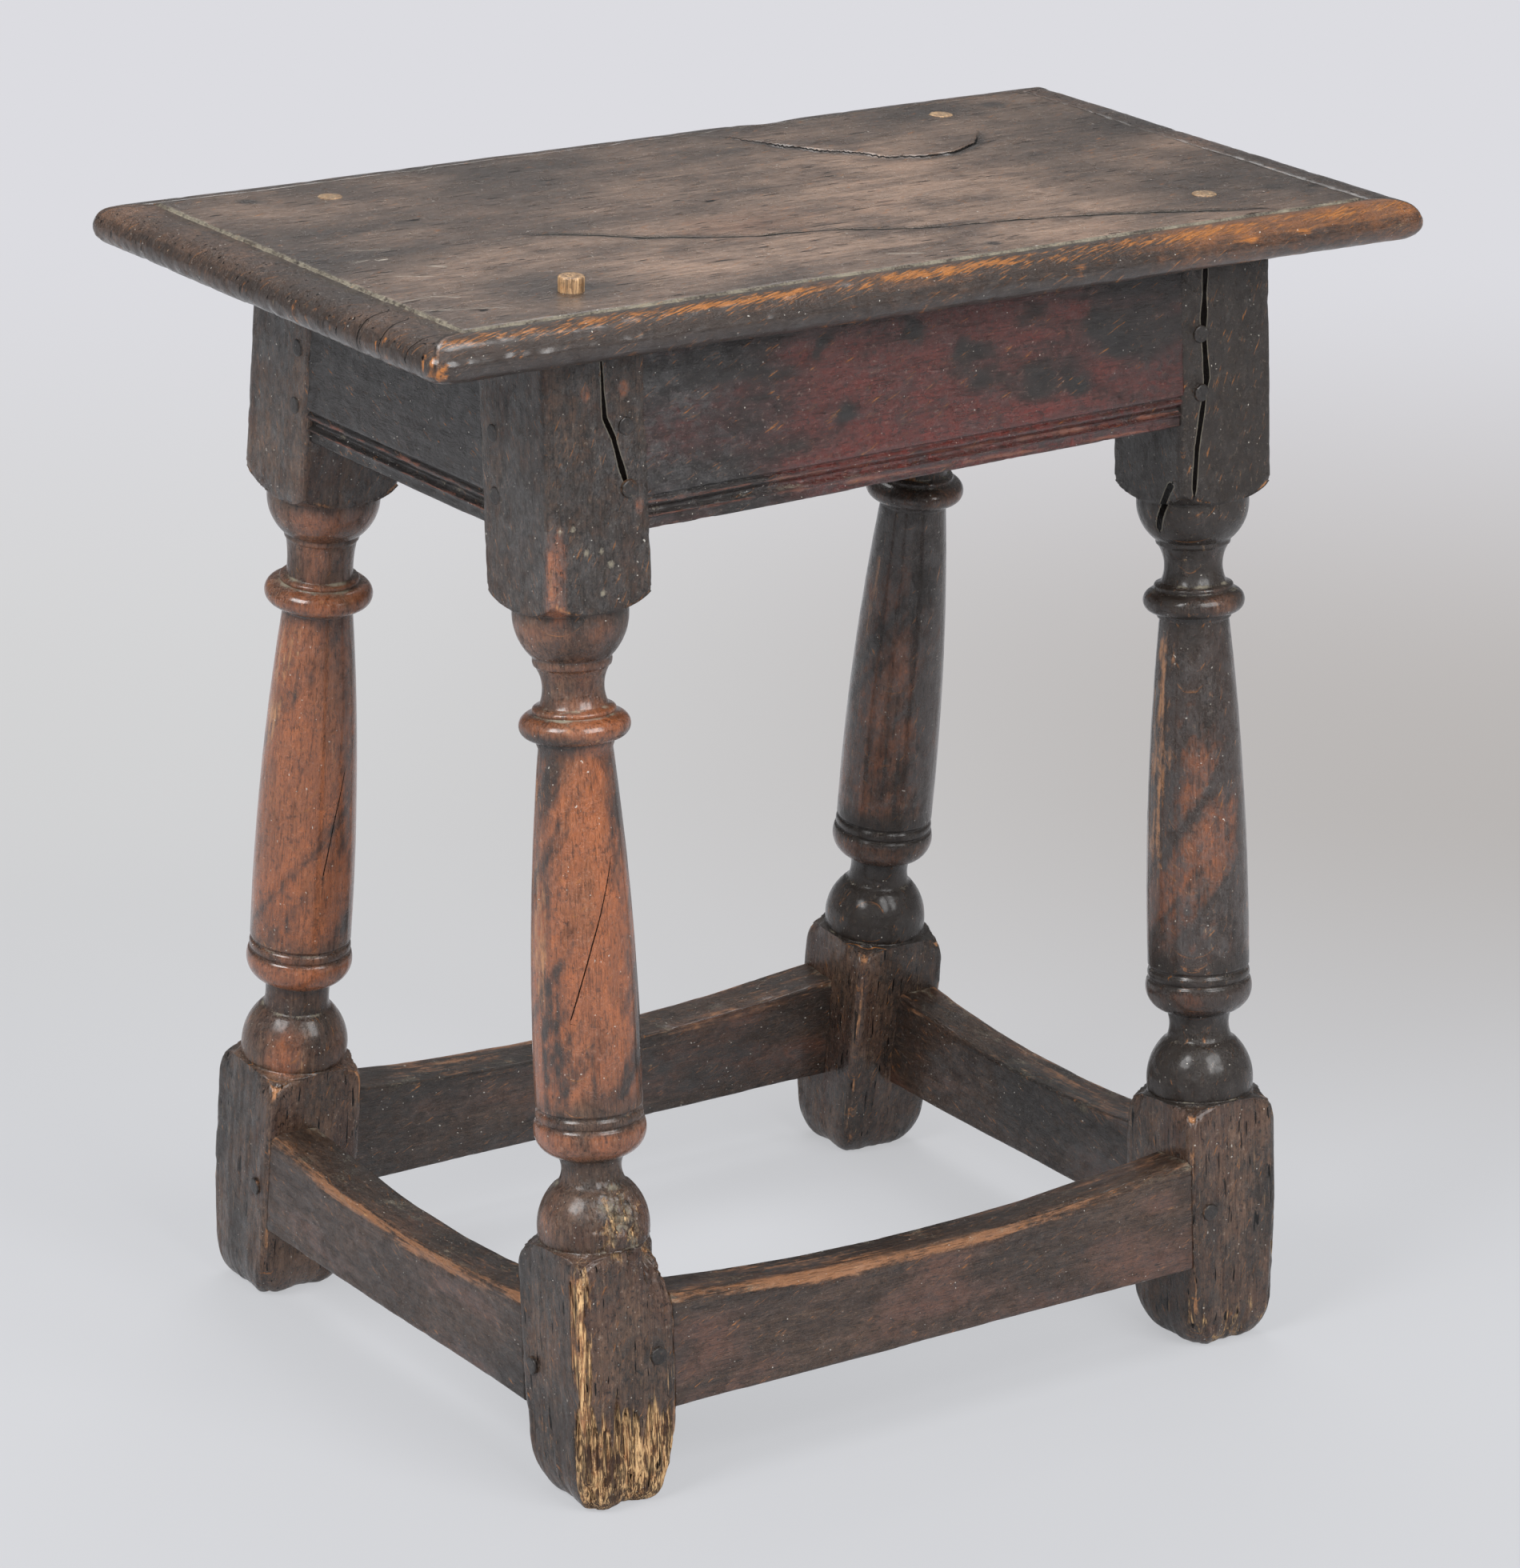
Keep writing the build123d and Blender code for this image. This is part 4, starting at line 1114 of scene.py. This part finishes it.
def board_mesh():
    """Points and faces of the board, and for each point its ring, counted back from the grid of the top,
    and its share in the section of the ends."""
    i, j = top_rim()
    rings, end_share = board_rings(np.column_stack([2 * i / TOP_CELLS[0] - 1, 2 * j / TOP_CELLS[1] - 1]))
    rows, columns = rings.shape[:2]
    grid_i, grid_j = np.meshgrid(*(np.arange(1, cells) for cells in TOP_CELLS), indexing="ij")
    inner = np.stack([(2 * grid_i / TOP_CELLS[0] - 1) * TOP_HALF[0],
                      (2 * grid_j / TOP_CELLS[1] - 1) * TOP_HALF[1],
                      np.full(grid_i.shape, SEAT_TOP)], -1).reshape(-1, 3)
    points = np.concatenate([rings.reshape(-1, 3), inner, [[0, 0, UNDERSIDE]]])
    index = np.zeros((TOP_CELLS[0] + 1, TOP_CELLS[1] + 1), int)
    index[i, j] = (rows - 1) * columns + np.arange(columns)
    index[1:-1, 1:-1] = rows * columns + np.arange(len(inner)).reshape(grid_i.shape)
    top = np.stack([index[:-1, :-1], index[1:, :-1], index[1:, 1:], index[:-1, 1:]], -1).reshape(-1, 4)
    column = np.arange(columns)
    fan = np.stack([(column + 1) % columns, column, np.full(columns, len(points) - 1)], -1)
    faces = ring_faces(rows, columns).tolist() + top.tolist() + fan.tolist()
    row = np.concatenate([np.repeat(np.arange(rows), columns), np.full(len(inner), rows), [0]])
    share = np.concatenate([np.tile(end_share, rows), np.zeros(len(inner) + 1)])
    return points, faces, row - rows, share


# %% [markdown]
# A long crack crosses the top, and near the back edge a flake of wood has lifted. Both are paths in the
# plane of the board, along which wood is taken away and the finish draws a black line.

# %% Noises and masks over the board
LONG_CRACK = [(-132, 3), (-106, -12), (-83, -31), (-41, -51), (-9, -56), (26, -72), (101, -87),
              (138, -100), (184, -117), (188, -124)]
FLAKE_EDGE = [(44, 122), (53, 113), (77, 72), (97, 45), (112, 38), (128, 37), (148, 47), (162, 64)]
# Cell, seed and layers of each.
BOARD_NOISES = {"broad": ((60, 40, 30), 301, 3), "ripple": ((26, 7, 12), 305, 3),
                "chips": ((9, 6, 6), 309, 3), "fibre": ((34, 2.4, 3), 312, 3),
                "cloud": ((80, 42, 40), 316, 4), "wander": ((11, 11, 11), 350, 3)}
BACK_NOTCH = (92, 146)


def board_fields(points, row, share):
    """Noises over the board, masks of its parts, and the distances to its crack and its flake."""
    b = SimpleNamespace(share=share, from_edge=BOARD_HALF - np.abs(points[:, :2]))
    for name, noise in BOARD_NOISES.items():
        setattr(b, name, rough(points, *noise))
    b.x, b.y, b.z = x, y, z = points.T
    b.under = row < row.min() + len(UNDER_PARTS)
    b.top, b.rim = row >= -1, row == -1
    b.quirk = (row >= -len(QUIRK_RINGS)) & ~b.top
    b.thumb = ~b.under & (row < -len(QUIRK_RINGS))
    b.nose = b.thumb & (z < SEAT_TOP - 5)
    b.front = (y < 0) & (share < 0.5)
    wander = 1.4 * b.wander
    b.flake = path_distance(x + wander, y + 0.6 * wander, FLAKE_EDGE)
    b.flaked = step_up(b.flake, -0.6, 0.4) * np.exp(-np.maximum(b.flake, 0) / 15)
    b.flaked = b.flaked * span(x, 40, 70, 150, 176) * b.top
    b.crack = path_distance(x, y + wander, LONG_CRACK)
    b.along_crack = span(x, -134, -112, 176, 192)
    return b


def worn_board(b, points):
    """Points of the board moved in by the wood they have lost: down on the top, up underneath, and from
    outside on the moulded edge."""
    loss = np.where(b.top, 0.25 + 0.22 * b.broad + 0.10 * b.ripple, 0.3 + 0.25 * b.broad * b.thumb)
    loss += 1.5 * b.flaked * (0.8 + 0.3 * b.ripple)
    loss += 0.55 * bump(b.crack, 1.6) * b.along_crack * (0.6 + 0.5 * b.chips) * b.top
    loss += 0.10 * clamp(b.fibre) * b.top
    loss += 0.35 * clamp(b.chips) * b.thumb + 0.5 * clamp(b.fibre) * b.nose * b.share
    loss += 1.6 * bump(np.hypot(b.x - BACK_NOTCH[0], (b.y - BACK_NOTCH[1]) * 0.8), 13) * (b.y > 100)
    over_nose = b.z - UNDERSIDE - NOSE
    pull = np.zeros_like(points)
    pull[:, :2] = -1.2 * np.sign(points[:, :2]) * clamp(1 - b.from_edge / THUMB) * b.thumb[:, None]
    pull[:, 2] = np.where(b.top | (over_nose > 0), -1.0, 1.0)
    pull[:, 2] *= np.where(b.thumb, clamp(abs(over_nose) / 9), np.where(b.under, 0.6, 1.0))
    points = points + pull * np.maximum(loss, 0)[:, None]
    points[:, 2] = np.clip(points[:, 2], UNDERSIDE, SEAT_TOP)
    return points


# %% Paint of the board
# Places of dark spots, as (x, y, size).
SPOTS = [(40.6, -110, 3), (-197.6, 106.5, 4), (202.4, 106.6, 5), (212.6, -87.7, 4), (221.4, -100.7, 3)]
SEAT_PEGS = {node: ((node_box(node)[0] + node_box(node)[1]) / 2)[:2]
             for node in (f"seat_peg_{side}_{end}" for side in SIDES for end in ENDS)}


def board_darkness(b):
    """How dark the board is: a top that pales towards its middle and has dark rings round its pegs and
    painted shade along its long crack, a black front edge whose right end is lighter, and the scratched
    line painted black as the shade of its step."""
    x, y, cloud, end = b.x, b.y, b.cloud, b.share > 0.5
    pegs = sum(bump(np.hypot(x - peg_x, y - peg_y), 26) for peg_x, peg_y in SEAT_PEGS.values())
    pale_middle = np.exp(-(((x - 30) / 150) ** 2) - (((y + 50) / 105) ** 2))
    dark = 0.56 - 0.42 * pale_middle + 0.1 * b.border + 0.2 * clamp(pegs) + 0.3 * cloud
    dark = np.where(b.top, dark, 0.3 + 0.4 * cloud)
    front = 0.86 + 0.3 * b.broad - 0.6 * b.right_end + 0.25 * b.nose
    dark = np.where(b.thumb & b.front, front, dark)
    dark = np.where(b.thumb & end & (x < 0), 0.72 + 0.25 * b.broad + 0.15 * b.nose, dark)
    unseen = (y > 0) & (b.share < 0.5) | end & (x > 0)
    dark = np.where(b.thumb & unseen, 0.75 + 0.2 * cloud, dark)
    dark = np.where(b.under, 0.55 + 0.4 * cloud, dark)
    # Darker along the flake's edge, and painted shade along the edges of the long crack.
    dark += 0.5 * b.flaked * bump(b.flake - 1, 3) + 0.4 * bump(b.crack, 2.6) * b.along_crack * b.top
    for spot_x, spot_y, size in SPOTS:
        dark += 0.6 * bump(np.hypot(x - spot_x, y - spot_y), size) * b.top
    # The scratched line is painted black, as the shade of its step.
    return np.where(b.quirk, 0.9, dark)


def board_paint(b, points):
    """Paint of the board: besides its darkness the golden wear along the front edge and on the left one
    and the corners, the dust in the scratched line, and two warm patches on the top."""
    x, y, front, chips, ripple = b.x, b.y, b.front, b.chips, b.ripple
    to_rim = b.from_edge - THUMB
    b.border = 1 - step_up(to_rim.min(-1), -2, 46)
    b.right_end = step_up(x, 60, 150)
    flecks = rough(points, (9, 2.2, 12), 341)
    wear = b.thumb * front * step_up(b.z, UNDERSIDE + 9, UNDERSIDE + 13)
    wear = wear * (0.02 + 0.12 * ripple + 0.26 * b.right_end)
    wear += b.nose * front * clamp(0.35 * chips + 0.3 * ripple - 0.05)
    wear += b.nose * (b.share >= 0.5) * clamp(0.1 + 0.6 * flecks - 0.3 * step_up(y, -60, 60))
    at_corner = step_up(np.hypot(*b.from_edge.T) + 4 * chips, 8, 3) * b.thumb * (y < 0)
    wear += at_corner * np.where(x < 0, 0.6, 0.5) * (0.7 + 0.9 * flecks)
    flame = bump(-to_rim[:, 1] - 8.0, 5.2) * (0.6 + 0.2 * step_up(x, -235, -150)) * (0.85 + 0.5 * ripple)
    dust = b.quirk * (0.62 + 0.1 * ripple + 0.2 * flecks) + b.top * 0.12 * clamp(chips) * b.border
    dust += 0.5 * b.rim * (0.9 + 0.4 * chips + 0.3 * flecks)
    golden = bump(np.hypot((x + 120) / 2, y - 10), 26) + bump(np.hypot((x + 20) / 3, y + 30), 24)
    warm = b.thumb * np.where(front, 0.7 + 0.3 * b.right_end, 0.5)
    return dict(wear=wear, dust=dust, dark=board_darkness(b), flame=b.thumb * front * flame,
                warm=warm + b.top * (0.12 + 0.22 * b.broad + 0.3 * golden),
                mark=b.top * (0.2 + 0.2 * chips) + b.thumb * (b.share > 0.5) * 0.25,
                mottle=np.where(b.top, 0.2, np.where(front, 0.6, 0.55)),
                bloom=b.top * 0.12 + b.nose * 0.3 * front)


# %% Cracks and scratches on the board
# Half the width of each, where a pale scratch counts as positive and a crack as negative, and its path.
SCRATCHES = [
    (0.25, [(-203.7, 10), (-189.3, 5.1)]), (0.3, [(-213, -8), (-207, -7)]),
    (0.8, [(-201.6, -9), (-199.4, -9.3)]), (0.25, [(-210, -36.4), (-197.6, -43.3)]),
    (0.7, [(-188, -29), (-185.4, -31)]), (0.3, [(-231, -72.8), (-214.6, -71.6), (-206.7, -77.5)]),
    (0.25, [(-229.4, -90), (-200.8, -100.2)]), (0.45, [(-8.7, -104.3), (2.4, -109.7)]),
    (0.03, [(160, -126), (166, -145)]), (-0.3, [(-260, -83), (-237, -80)]),
    (-0.25, [(-260, -100), (-238, -95)]), (-0.2, [(-240, -123), (-260, -119)]),
]


def board_lines(b, points):
    """The signed distance to a line on the board, and half its width. Of two lines the later one wins:
    the long crack, the flake's edge, then the scratches in turn."""
    cracked = (0.25 + 0.85 * value_noise(points, 7.0, 330)) * b.along_crack * (abs(b.crack) < 3)
    lifted = 0.4 * span(b.x, 50, 66, 150, 160) * (abs(b.flake) < 2.5)
    gap = np.where(lifted > 0, b.flake, np.where(cracked > 0, b.crack, NO_GAP))
    width = np.where(lifted > 0, lifted, cracked) * b.top
    for scratch_width, route in SCRATCHES:
        scratch = path_distance(b.x, b.y, route)
        near = (abs(scratch) < 2.6) & (b.top | b.thumb)
        gap, width = np.where(near, scratch, gap), np.where(near, -scratch_width, width)
    return dict(gap=gap, open=width, rim=0.4 * (width > 0.6))


def make_board():
    """The board, worn. End grain has no long fibres, so there the timber's third axis stands upright."""
    points, faces, row, share = board_mesh()
    b = board_fields(points, row, share)
    timber = np.column_stack([b.y, b.z, b.x])
    end_grain = np.column_stack([b.x, b.y, b.z * 0.8])
    timber = np.where((b.thumb & (share > 0.6))[:, None], end_grain, timber) + 700
    points = worn_board(b, points)
    paint = {**board_paint(b, points), **board_lines(b, points)}
    piece = make_piece("seat_plank", points, faces, timber, paint, "seat_oak", "seat_board")
    print(piece.name, len(piece.data.polygons), "faces")


make_board()

# %% [markdown]
# ## Rails and stretchers
#
# A rail or a stretcher is one outline carried from leg to leg. The outline is followed down the outer
# face, under, up the inner face and over the top. Along the rails it holds the beads and the hollow of
# the moulding, and along the stretchers it sinks in the middle, where feet have rested. The ends run a
# little way into the legs, so that a worn leg shows no gap.

# %% Outlines of the members
END_RAIL_BOX, END_STRETCHER_BOX = node_box("rail_left"), node_box("stretcher_left")
RAIL_HEIGHT = END_RAIL_BOX[1][2] - END_RAIL_BOX[0][2]
END_STRETCHER_LIFT = END_STRETCHER_BOX[0][2]
END_STRETCHER_HEIGHT = END_STRETCHER_BOX[1][2] - END_STRETCHER_LIFT
# Thickness, recess behind the leg's face, and (lift, height) of the long and of the end members.
KINDS = {
    "rail": (24.0, 0.5, (AXIS - RAIL_HEIGHT, RAIL_HEIGHT), (UNDERSIDE - RAIL_HEIGHT, RAIL_HEIGHT)),
    "stretcher": (27.0, 1.7, (39.0, 52.0), (END_STRETCHER_LIFT, END_STRETCHER_HEIGHT)),
}
SHOULDER = LEG_X - HALF
INTO_LEG = 2.0
FOOT_WEAR = 8.0
FRONT_RAIL_CANT = 2.6
LONG_ROWS, END_ROWS = 250, 170


def half_gap(height):
    """Half the distance between the inner faces of a front and a back leg at a height."""
    return LEG_Y - height * TAN - HALF / COS


def run(start, end, count, middle=None):
    """Evenly spaced points from start up to, but without, end. With a middle they lie on a parabola
    through all three places."""
    t = np.linspace(0, 1, count, endpoint=False)[:, None]
    start, end = np.array(start), np.array(end)
    line = start + t * (end - start)
    return line if middle is None else line + 4 * t * (1 - t) * (np.array(middle) - (start + end) / 2)


def rail_outline():
    """Outline of a rail as (depth behind the outer face, height over the lower edge)."""
    top, deep = RAIL_HEIGHT, KINDS["rail"][0]
    return np.concatenate([
        run((0, top), (0, 15.2), 44), run((0, 15.2), (0.5, 14.5), 2), run((0.6, 14.4), (1.9, 14.3), 2),
        run((1.9, 14.3), (1.9, 9.8), 11, (0.2, 12.1)), run((1.9, 9.8), (1.9, 7.3), 8, (3.0, 8.5)),
        run((1.9, 7.3), (1.9, 4.7), 9, (0.7, 6.0)), run((1.9, 4.7), (1.9, 0.8), 6),
        run((1.9, 0.8), (2.7, 0), 2), run((2.7, 0), (deep - 1, 0), 12), run((deep - 1, 0), (deep, 1), 2),
        run((deep, 1), (deep, top), 22), run((deep, top), (0, top), 10),
    ])


def stretcher_outline():
    """Outline of a stretcher, as (depth, fixed height, share of the full height), so that its top can
    sink while its corners keep their rounding."""
    deep = KINDS["stretcher"][0]
    worn, eased = 4.5, 2.0
    turn = np.linspace(0, math.pi / 2, 7)[:, None]
    out, up = 1 - np.cos(turn), 1 - np.sin(turn)
    return np.concatenate([
        run((0.0, -worn, 1.0), (0.0, eased, 0.0), 30),
        np.hstack([eased * out, eased * up, 0 * turn]),
        run((eased, 0, 0), (deep - eased, 0, 0), 12)[1:],
        np.hstack([deep - eased * up, eased * out, 0 * turn]),
        run((deep, eased, 0), (deep, -eased, 1), 26)[1:],
        np.hstack([deep - eased * out, -eased * up, 0 * turn + 1]),
        run((deep - eased, 0, 1), (worn * 1.3, 0, 1), 12)[1:],
        np.hstack([worn * 1.3 * up, -worn * out, 0 * turn + 1])[:-1],
    ])


def surface_normals(points):
    """Unit normals of a stack of rings, from the cross product of its steps round and along."""
    around = np.roll(points, -1, 1) - np.roll(points, 1, 1)
    normal = np.cross(around, np.gradient(points, axis=0))
    return normal / np.maximum(np.linalg.norm(normal, axis=-1, keepdims=True), 1e-9)


def place_member(where, depth, height, reach):
    """Points of a member between its legs. Front and back members lie in the raked plane of their legs,
    end members stand upright. reach runs from -1 to 1 along the member."""
    if where in SIDES:
        x = reach * (SHOULDER + INTO_LEG) + 0 * depth
        return raked(x, SIDES[where], SIDES[where] * (HALF - depth), height)
    y = reach * (half_gap(height) + INTO_LEG)
    return np.stack([ENDS[where] * (LEG_X + HALF - depth), y, height], -1)


# %% [markdown]
# The rails are black with polish and soot, but for the front one, which is red in the middle, where
# the varnish lasted. The stretchers are brown and worn to paler wood along their upper arris.

# %% Wear of the members
MEMBER_NOISES = {"broad": ((14, 16, 60), 3), "fibre": ((2.2, 2.2, 30), 3), "chips": ((6, 6, 9), 3),
                 "patch": ((24, 26, 60), 4)}
# Dark stains on the front rail, as (x, height).
RAIL_STAINS = [(-52, 488), (-4, 489), (92, 482), (81, 455), (-39, 457), (20, 476), (62, 460), (105, 468)]


def rail_wear(m, front):
    """Loss and paint of a rail: chipped along its moulding, whose beads are rubbed and lit by painted
    light, and hollows dusty.
    """
    rise, chipped = m.rise, clamp(m.chips)
    moulded = (1 - step_up(rise, 14.4, 15.6)) * m.outer
    loss = 0.35 + 0.2 * m.broad + 0.12 * chipped + 0.08 * m.fibre + moulded * 0.35 * chipped
    beads = bump(rise - 12.1, 1.3) + bump(rise - 6.0, 0.9)
    hollows = bump(rise - 8.6, 0.9) + bump(rise - 14.4, 0.5)
    # The beads are paler, part rubbed wood and part painted highlight.
    paint = dict(wear=moulded * (0.55 * beads + 0.25 * m.chips) + 0.4 * bump(rise, 1.5) * chipped,
                 dust=moulded * hollows * (0.15 + 0.4 * m.chips) + 0.1 * chipped * m.outer,
                 dark=0.55 + 0.35 * m.patch + 0.25 * m.inner + 0.1 * moulded,
                 warm=0.4 + 0.4 * m.broad - 0.2 * m.inner, bloom=0.0)
    if not front:
        add_to(paint, dark=0.22, warm=-0.42, bloom=0.1)
        return loss, paint
    middle = m.reach + 0.15 * m.patch
    red = span(middle, -0.7, -0.4, 0.5, 0.75) * m.outer
    red *= 0.75 + 0.5 * bump(rise - 64, 12) + 0.4 * bump(rise - 20, 7)
    add_to(paint, dark=-(0.4 + 0.1 * m.patch) * red, warm=(0.4 + 0.3 * m.patch) * red,
           bloom=0.2 - 0.3 * m.reach)
    for x, height in RAIL_STAINS:
        spot = bump(np.hypot(m.along - x, m.height - height) + 3 * m.chips, 4.6) * m.outer
        add_to(paint, dark=0.7 * spot, warm=-0.5 * spot)
    return loss, paint


def stretcher_wear(m):
    """Loss and paint of a stretcher: rounded and pale along its outer upper arris, dusty at its ends."""
    chipped, fibrous = clamp(m.chips), clamp(m.fibre)
    top = step_up(m.rise - (m.sunk - 7), 0, 3)
    arris = bump(m.depth - 1.5, 3.4) * top
    loss = 0.4 + 0.25 * m.broad + 0.18 * fibrous + 0.25 * chipped
    loss += arris * (0.5 + 0.8 * clamp(m.broad)) + top * 0.5 * clamp(m.broad + 0.2)
    in_corner = 1 - step_up(1 - abs(m.reach), 0, 0.05)
    return loss, dict(wear=arris * (0.55 + 0.5 * m.broad) + top * (0.18 + 0.3 * clamp(m.broad + m.fibre)),
                      dust=0.22 * top * (0.6 + m.chips) + 0.12 * chipped + 0.3 * in_corner * top,
                      dark=0.38 + 0.45 * m.patch + 0.2 * m.inner - 0.25 * arris, warm=0.3 + 0.4 * m.broad,
                      raw=0.25 * arris * fibrous, mark=0.02 + 0.1 * m.chips, bloom=0.05)


def make_member(kind, where, seed):
    """Rail or stretcher: its outline carried along, then worn along its normals."""
    thickness, recess, *places = KINDS[kind]
    lift, high = places[where in ENDS]
    m = SimpleNamespace(reach=np.linspace(-1, 1, LONG_ROWS if where in SIDES else END_ROWS)[:, None])
    if kind == "rail":
        depth, rise = rail_outline().T
        cant = FRONT_RAIL_CANT * (1 + m.reach) if where == "front" else 0 * m.reach
        rise = rise + cant * (1 - rise / high)
    else:
        depth, fixed, share = stretcher_outline().T
        m.sunk = high - FOOT_WEAR * (1 - m.reach**2)
        rise = fixed + share * m.sunk
    order = slice(None, None, -1 if where in ("back", "left") else 1)
    m.depth, m.rise = np.broadcast_to(depth, rise.shape)[:, order], rise[:, order]
    m.height = lift + m.rise
    points = place_member(where, m.depth + recess * clamp(1 - m.depth / 4), m.height, m.reach)
    m.along = m.reach * (SHOULDER if where in SIDES else half_gap(lift)) + 0 * m.depth
    timber = np.stack([m.depth, m.rise, m.along], -1)
    for step, (name, (cell, layers)) in enumerate(MEMBER_NOISES.items()):
        setattr(m, name, rough(timber, cell, seed + SEED_STEP * step, layers))
    m.outer = step_up(m.depth, thickness * 0.5, thickness * 0.3)
    m.inner = 1 - m.outer
    loss, paint = rail_wear(m, where == "front") if kind == "rail" else stretcher_wear(m)
    paint.update(gap=NO_GAP, mottle=0.85, bloom=paint["bloom"] + 0.3 * m.patch)
    points = points - surface_normals(points) * np.maximum(loss, 0)[..., None]
    points[..., 2] = np.minimum(points[..., 2], UNDERSIDE - 0.02)
    make_stack(f"oak_{kind}_{where}", points, timber + 90.0 * seed, paint, f"{kind}_oak", f"{kind}_{where}")


for seed, where in enumerate([*SIDES, *ENDS], 61):
    make_member("rail", where, seed * 3)
    make_member("stretcher", where, seed * 7)

# %% [markdown]
# ## Pegs
#
# The pegs were riven and shaved, not turned, so none is quite round, and each end was trimmed by eye.
# A peg is a short stack of rings: its radius wavers with the angle, and rings close over its ends.

# %% Pegs
PEG_COLUMNS = 32
FLUTES = 0.05
LEAN = 0.006
SHAFT_RINGS = 14


def make_peg(node, seed, axis, slot, stand, slant):
    """Riven peg in place of a CAD one, with the same length and place. axis points out of its hole,
    stand is how far it stands proud of the face, or below it, and slant is how far its end is from
    square. Half its length follows from its box, less what its tilted round ends add to that."""
    low, high = node_box(node)
    axis = np.array(axis, float)
    middle, size = (low + high) / 2, high - low
    radius = np.sort(size)[0] / 2
    tilt = abs(axis)
    half = (size @ tilt - 2 * radius * np.sqrt(1 - tilt**2) @ tilt) / 2 / (tilt @ tilt)
    rng = np.random.default_rng(seed)
    first = np.cross(axis, (0, 0, 1.0) if abs(axis[2]) < 0.9 else (0, 1.0, 0))
    first /= np.linalg.norm(first)
    second = np.cross(axis, first)
    angle = np.linspace(0, 2 * math.pi, PEG_COLUMNS, endpoint=False)
    waver = 1 - FLUTES * (0.5 + 0.5 * sum(np.cos(k * angle + rng.uniform(0, 6)) / 3 for k in (3, 5, 7)))
    steps = [(-half, 0.45), (-half + 0.5, 0.55), (-half + 9, 0.93), (-half + 14, 1.0)]
    steps += [(along, 1.0) for along in np.linspace(-half + 15, half - 0.8, SHAFT_RINGS)]
    steps += [(half - 0.35, 0.985), (half, 0.9), (half + 0.03, 0.7), (half + 0.05, 0.4)]
    rings = []
    for along, share in steps:
        spread = radius * share * waver + rng.normal(0, LEAN) * radius
        past = slant * np.cos(angle + seed) * share * (along > half - 1)
        sideways = np.outer(spread * np.cos(angle), first) + np.outer(spread * np.sin(angle), second)
        rings.append(middle + axis * (along + stand) + np.outer(past, axis) + sideways)
    points, faces = capped_rings(np.array(rings))
    timber = (points - middle) @ np.column_stack([first, second, axis]) + 37.0 * seed
    end = step_up((points - middle) @ axis, half + stand - 0.5, half + stand - 0.1)
    dirt = rough(points, (3, 3, 3), seed)
    paint = dict(wear=0.35 + 0.3 * dirt - 0.2 * end, dust=0.25 * end * (0.6 + dirt), warm=0.3 + 0.2 * dirt,
                 dark=0.35 + 0.3 * end + 0.3 * dirt, gap=NO_GAP, mottle=0.5, bloom=0.3 * end)
    if slot == "seat_peg_oak":
        standing = step_up(points[:, 2], SEAT_TOP + 0.2, SEAT_TOP + 2.5)
        paint.update(dark=0.55 * end - 0.2 + 0.25 * dirt, dust=0.3 * (1 - standing) + 0.1 * end, wear=0.3)
    make_piece(node.replace("peg", "riven_peg"), points, faces, timber, paint, slot, node)


# How far the pegs stand out of the legs, and how far their ends are from square.
PEG_STANDS = {"peg_rail_front_left_lower": 1.3, "peg_rail_front_right_lower": 0.9,
              "peg_rail_front_right_upper": 0.6}
USUAL_STAND, PROUD_STAND, FLUSH_STAND = 0.1, -0.3, -0.02
SEAT_PEG_SLANT, PEG_SLANT = 0.12, 0.25
for seed, node in enumerate(sorted(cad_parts), 400):
    if node in SEAT_PEGS:
        stand = PROUD_STAND if node_box(node)[1][2] > SEAT_TOP + 1 else FLUSH_STAND
        make_peg(node, seed, (0, 0, 1), "seat_peg_oak", stand, SEAT_PEG_SLANT)
    elif node.startswith("peg"):
        where = node.split("_")[2]
        axis = (0, SIDES[where] * COS, SIN) if where in SIDES else (ENDS[where], 0, 0)
        make_peg(node, seed, axis, "peg_oak", PEG_STANDS.get(node, USUAL_STAND), PEG_SLANT)
print(sum("peg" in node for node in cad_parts), "pegs")

# %% [markdown]
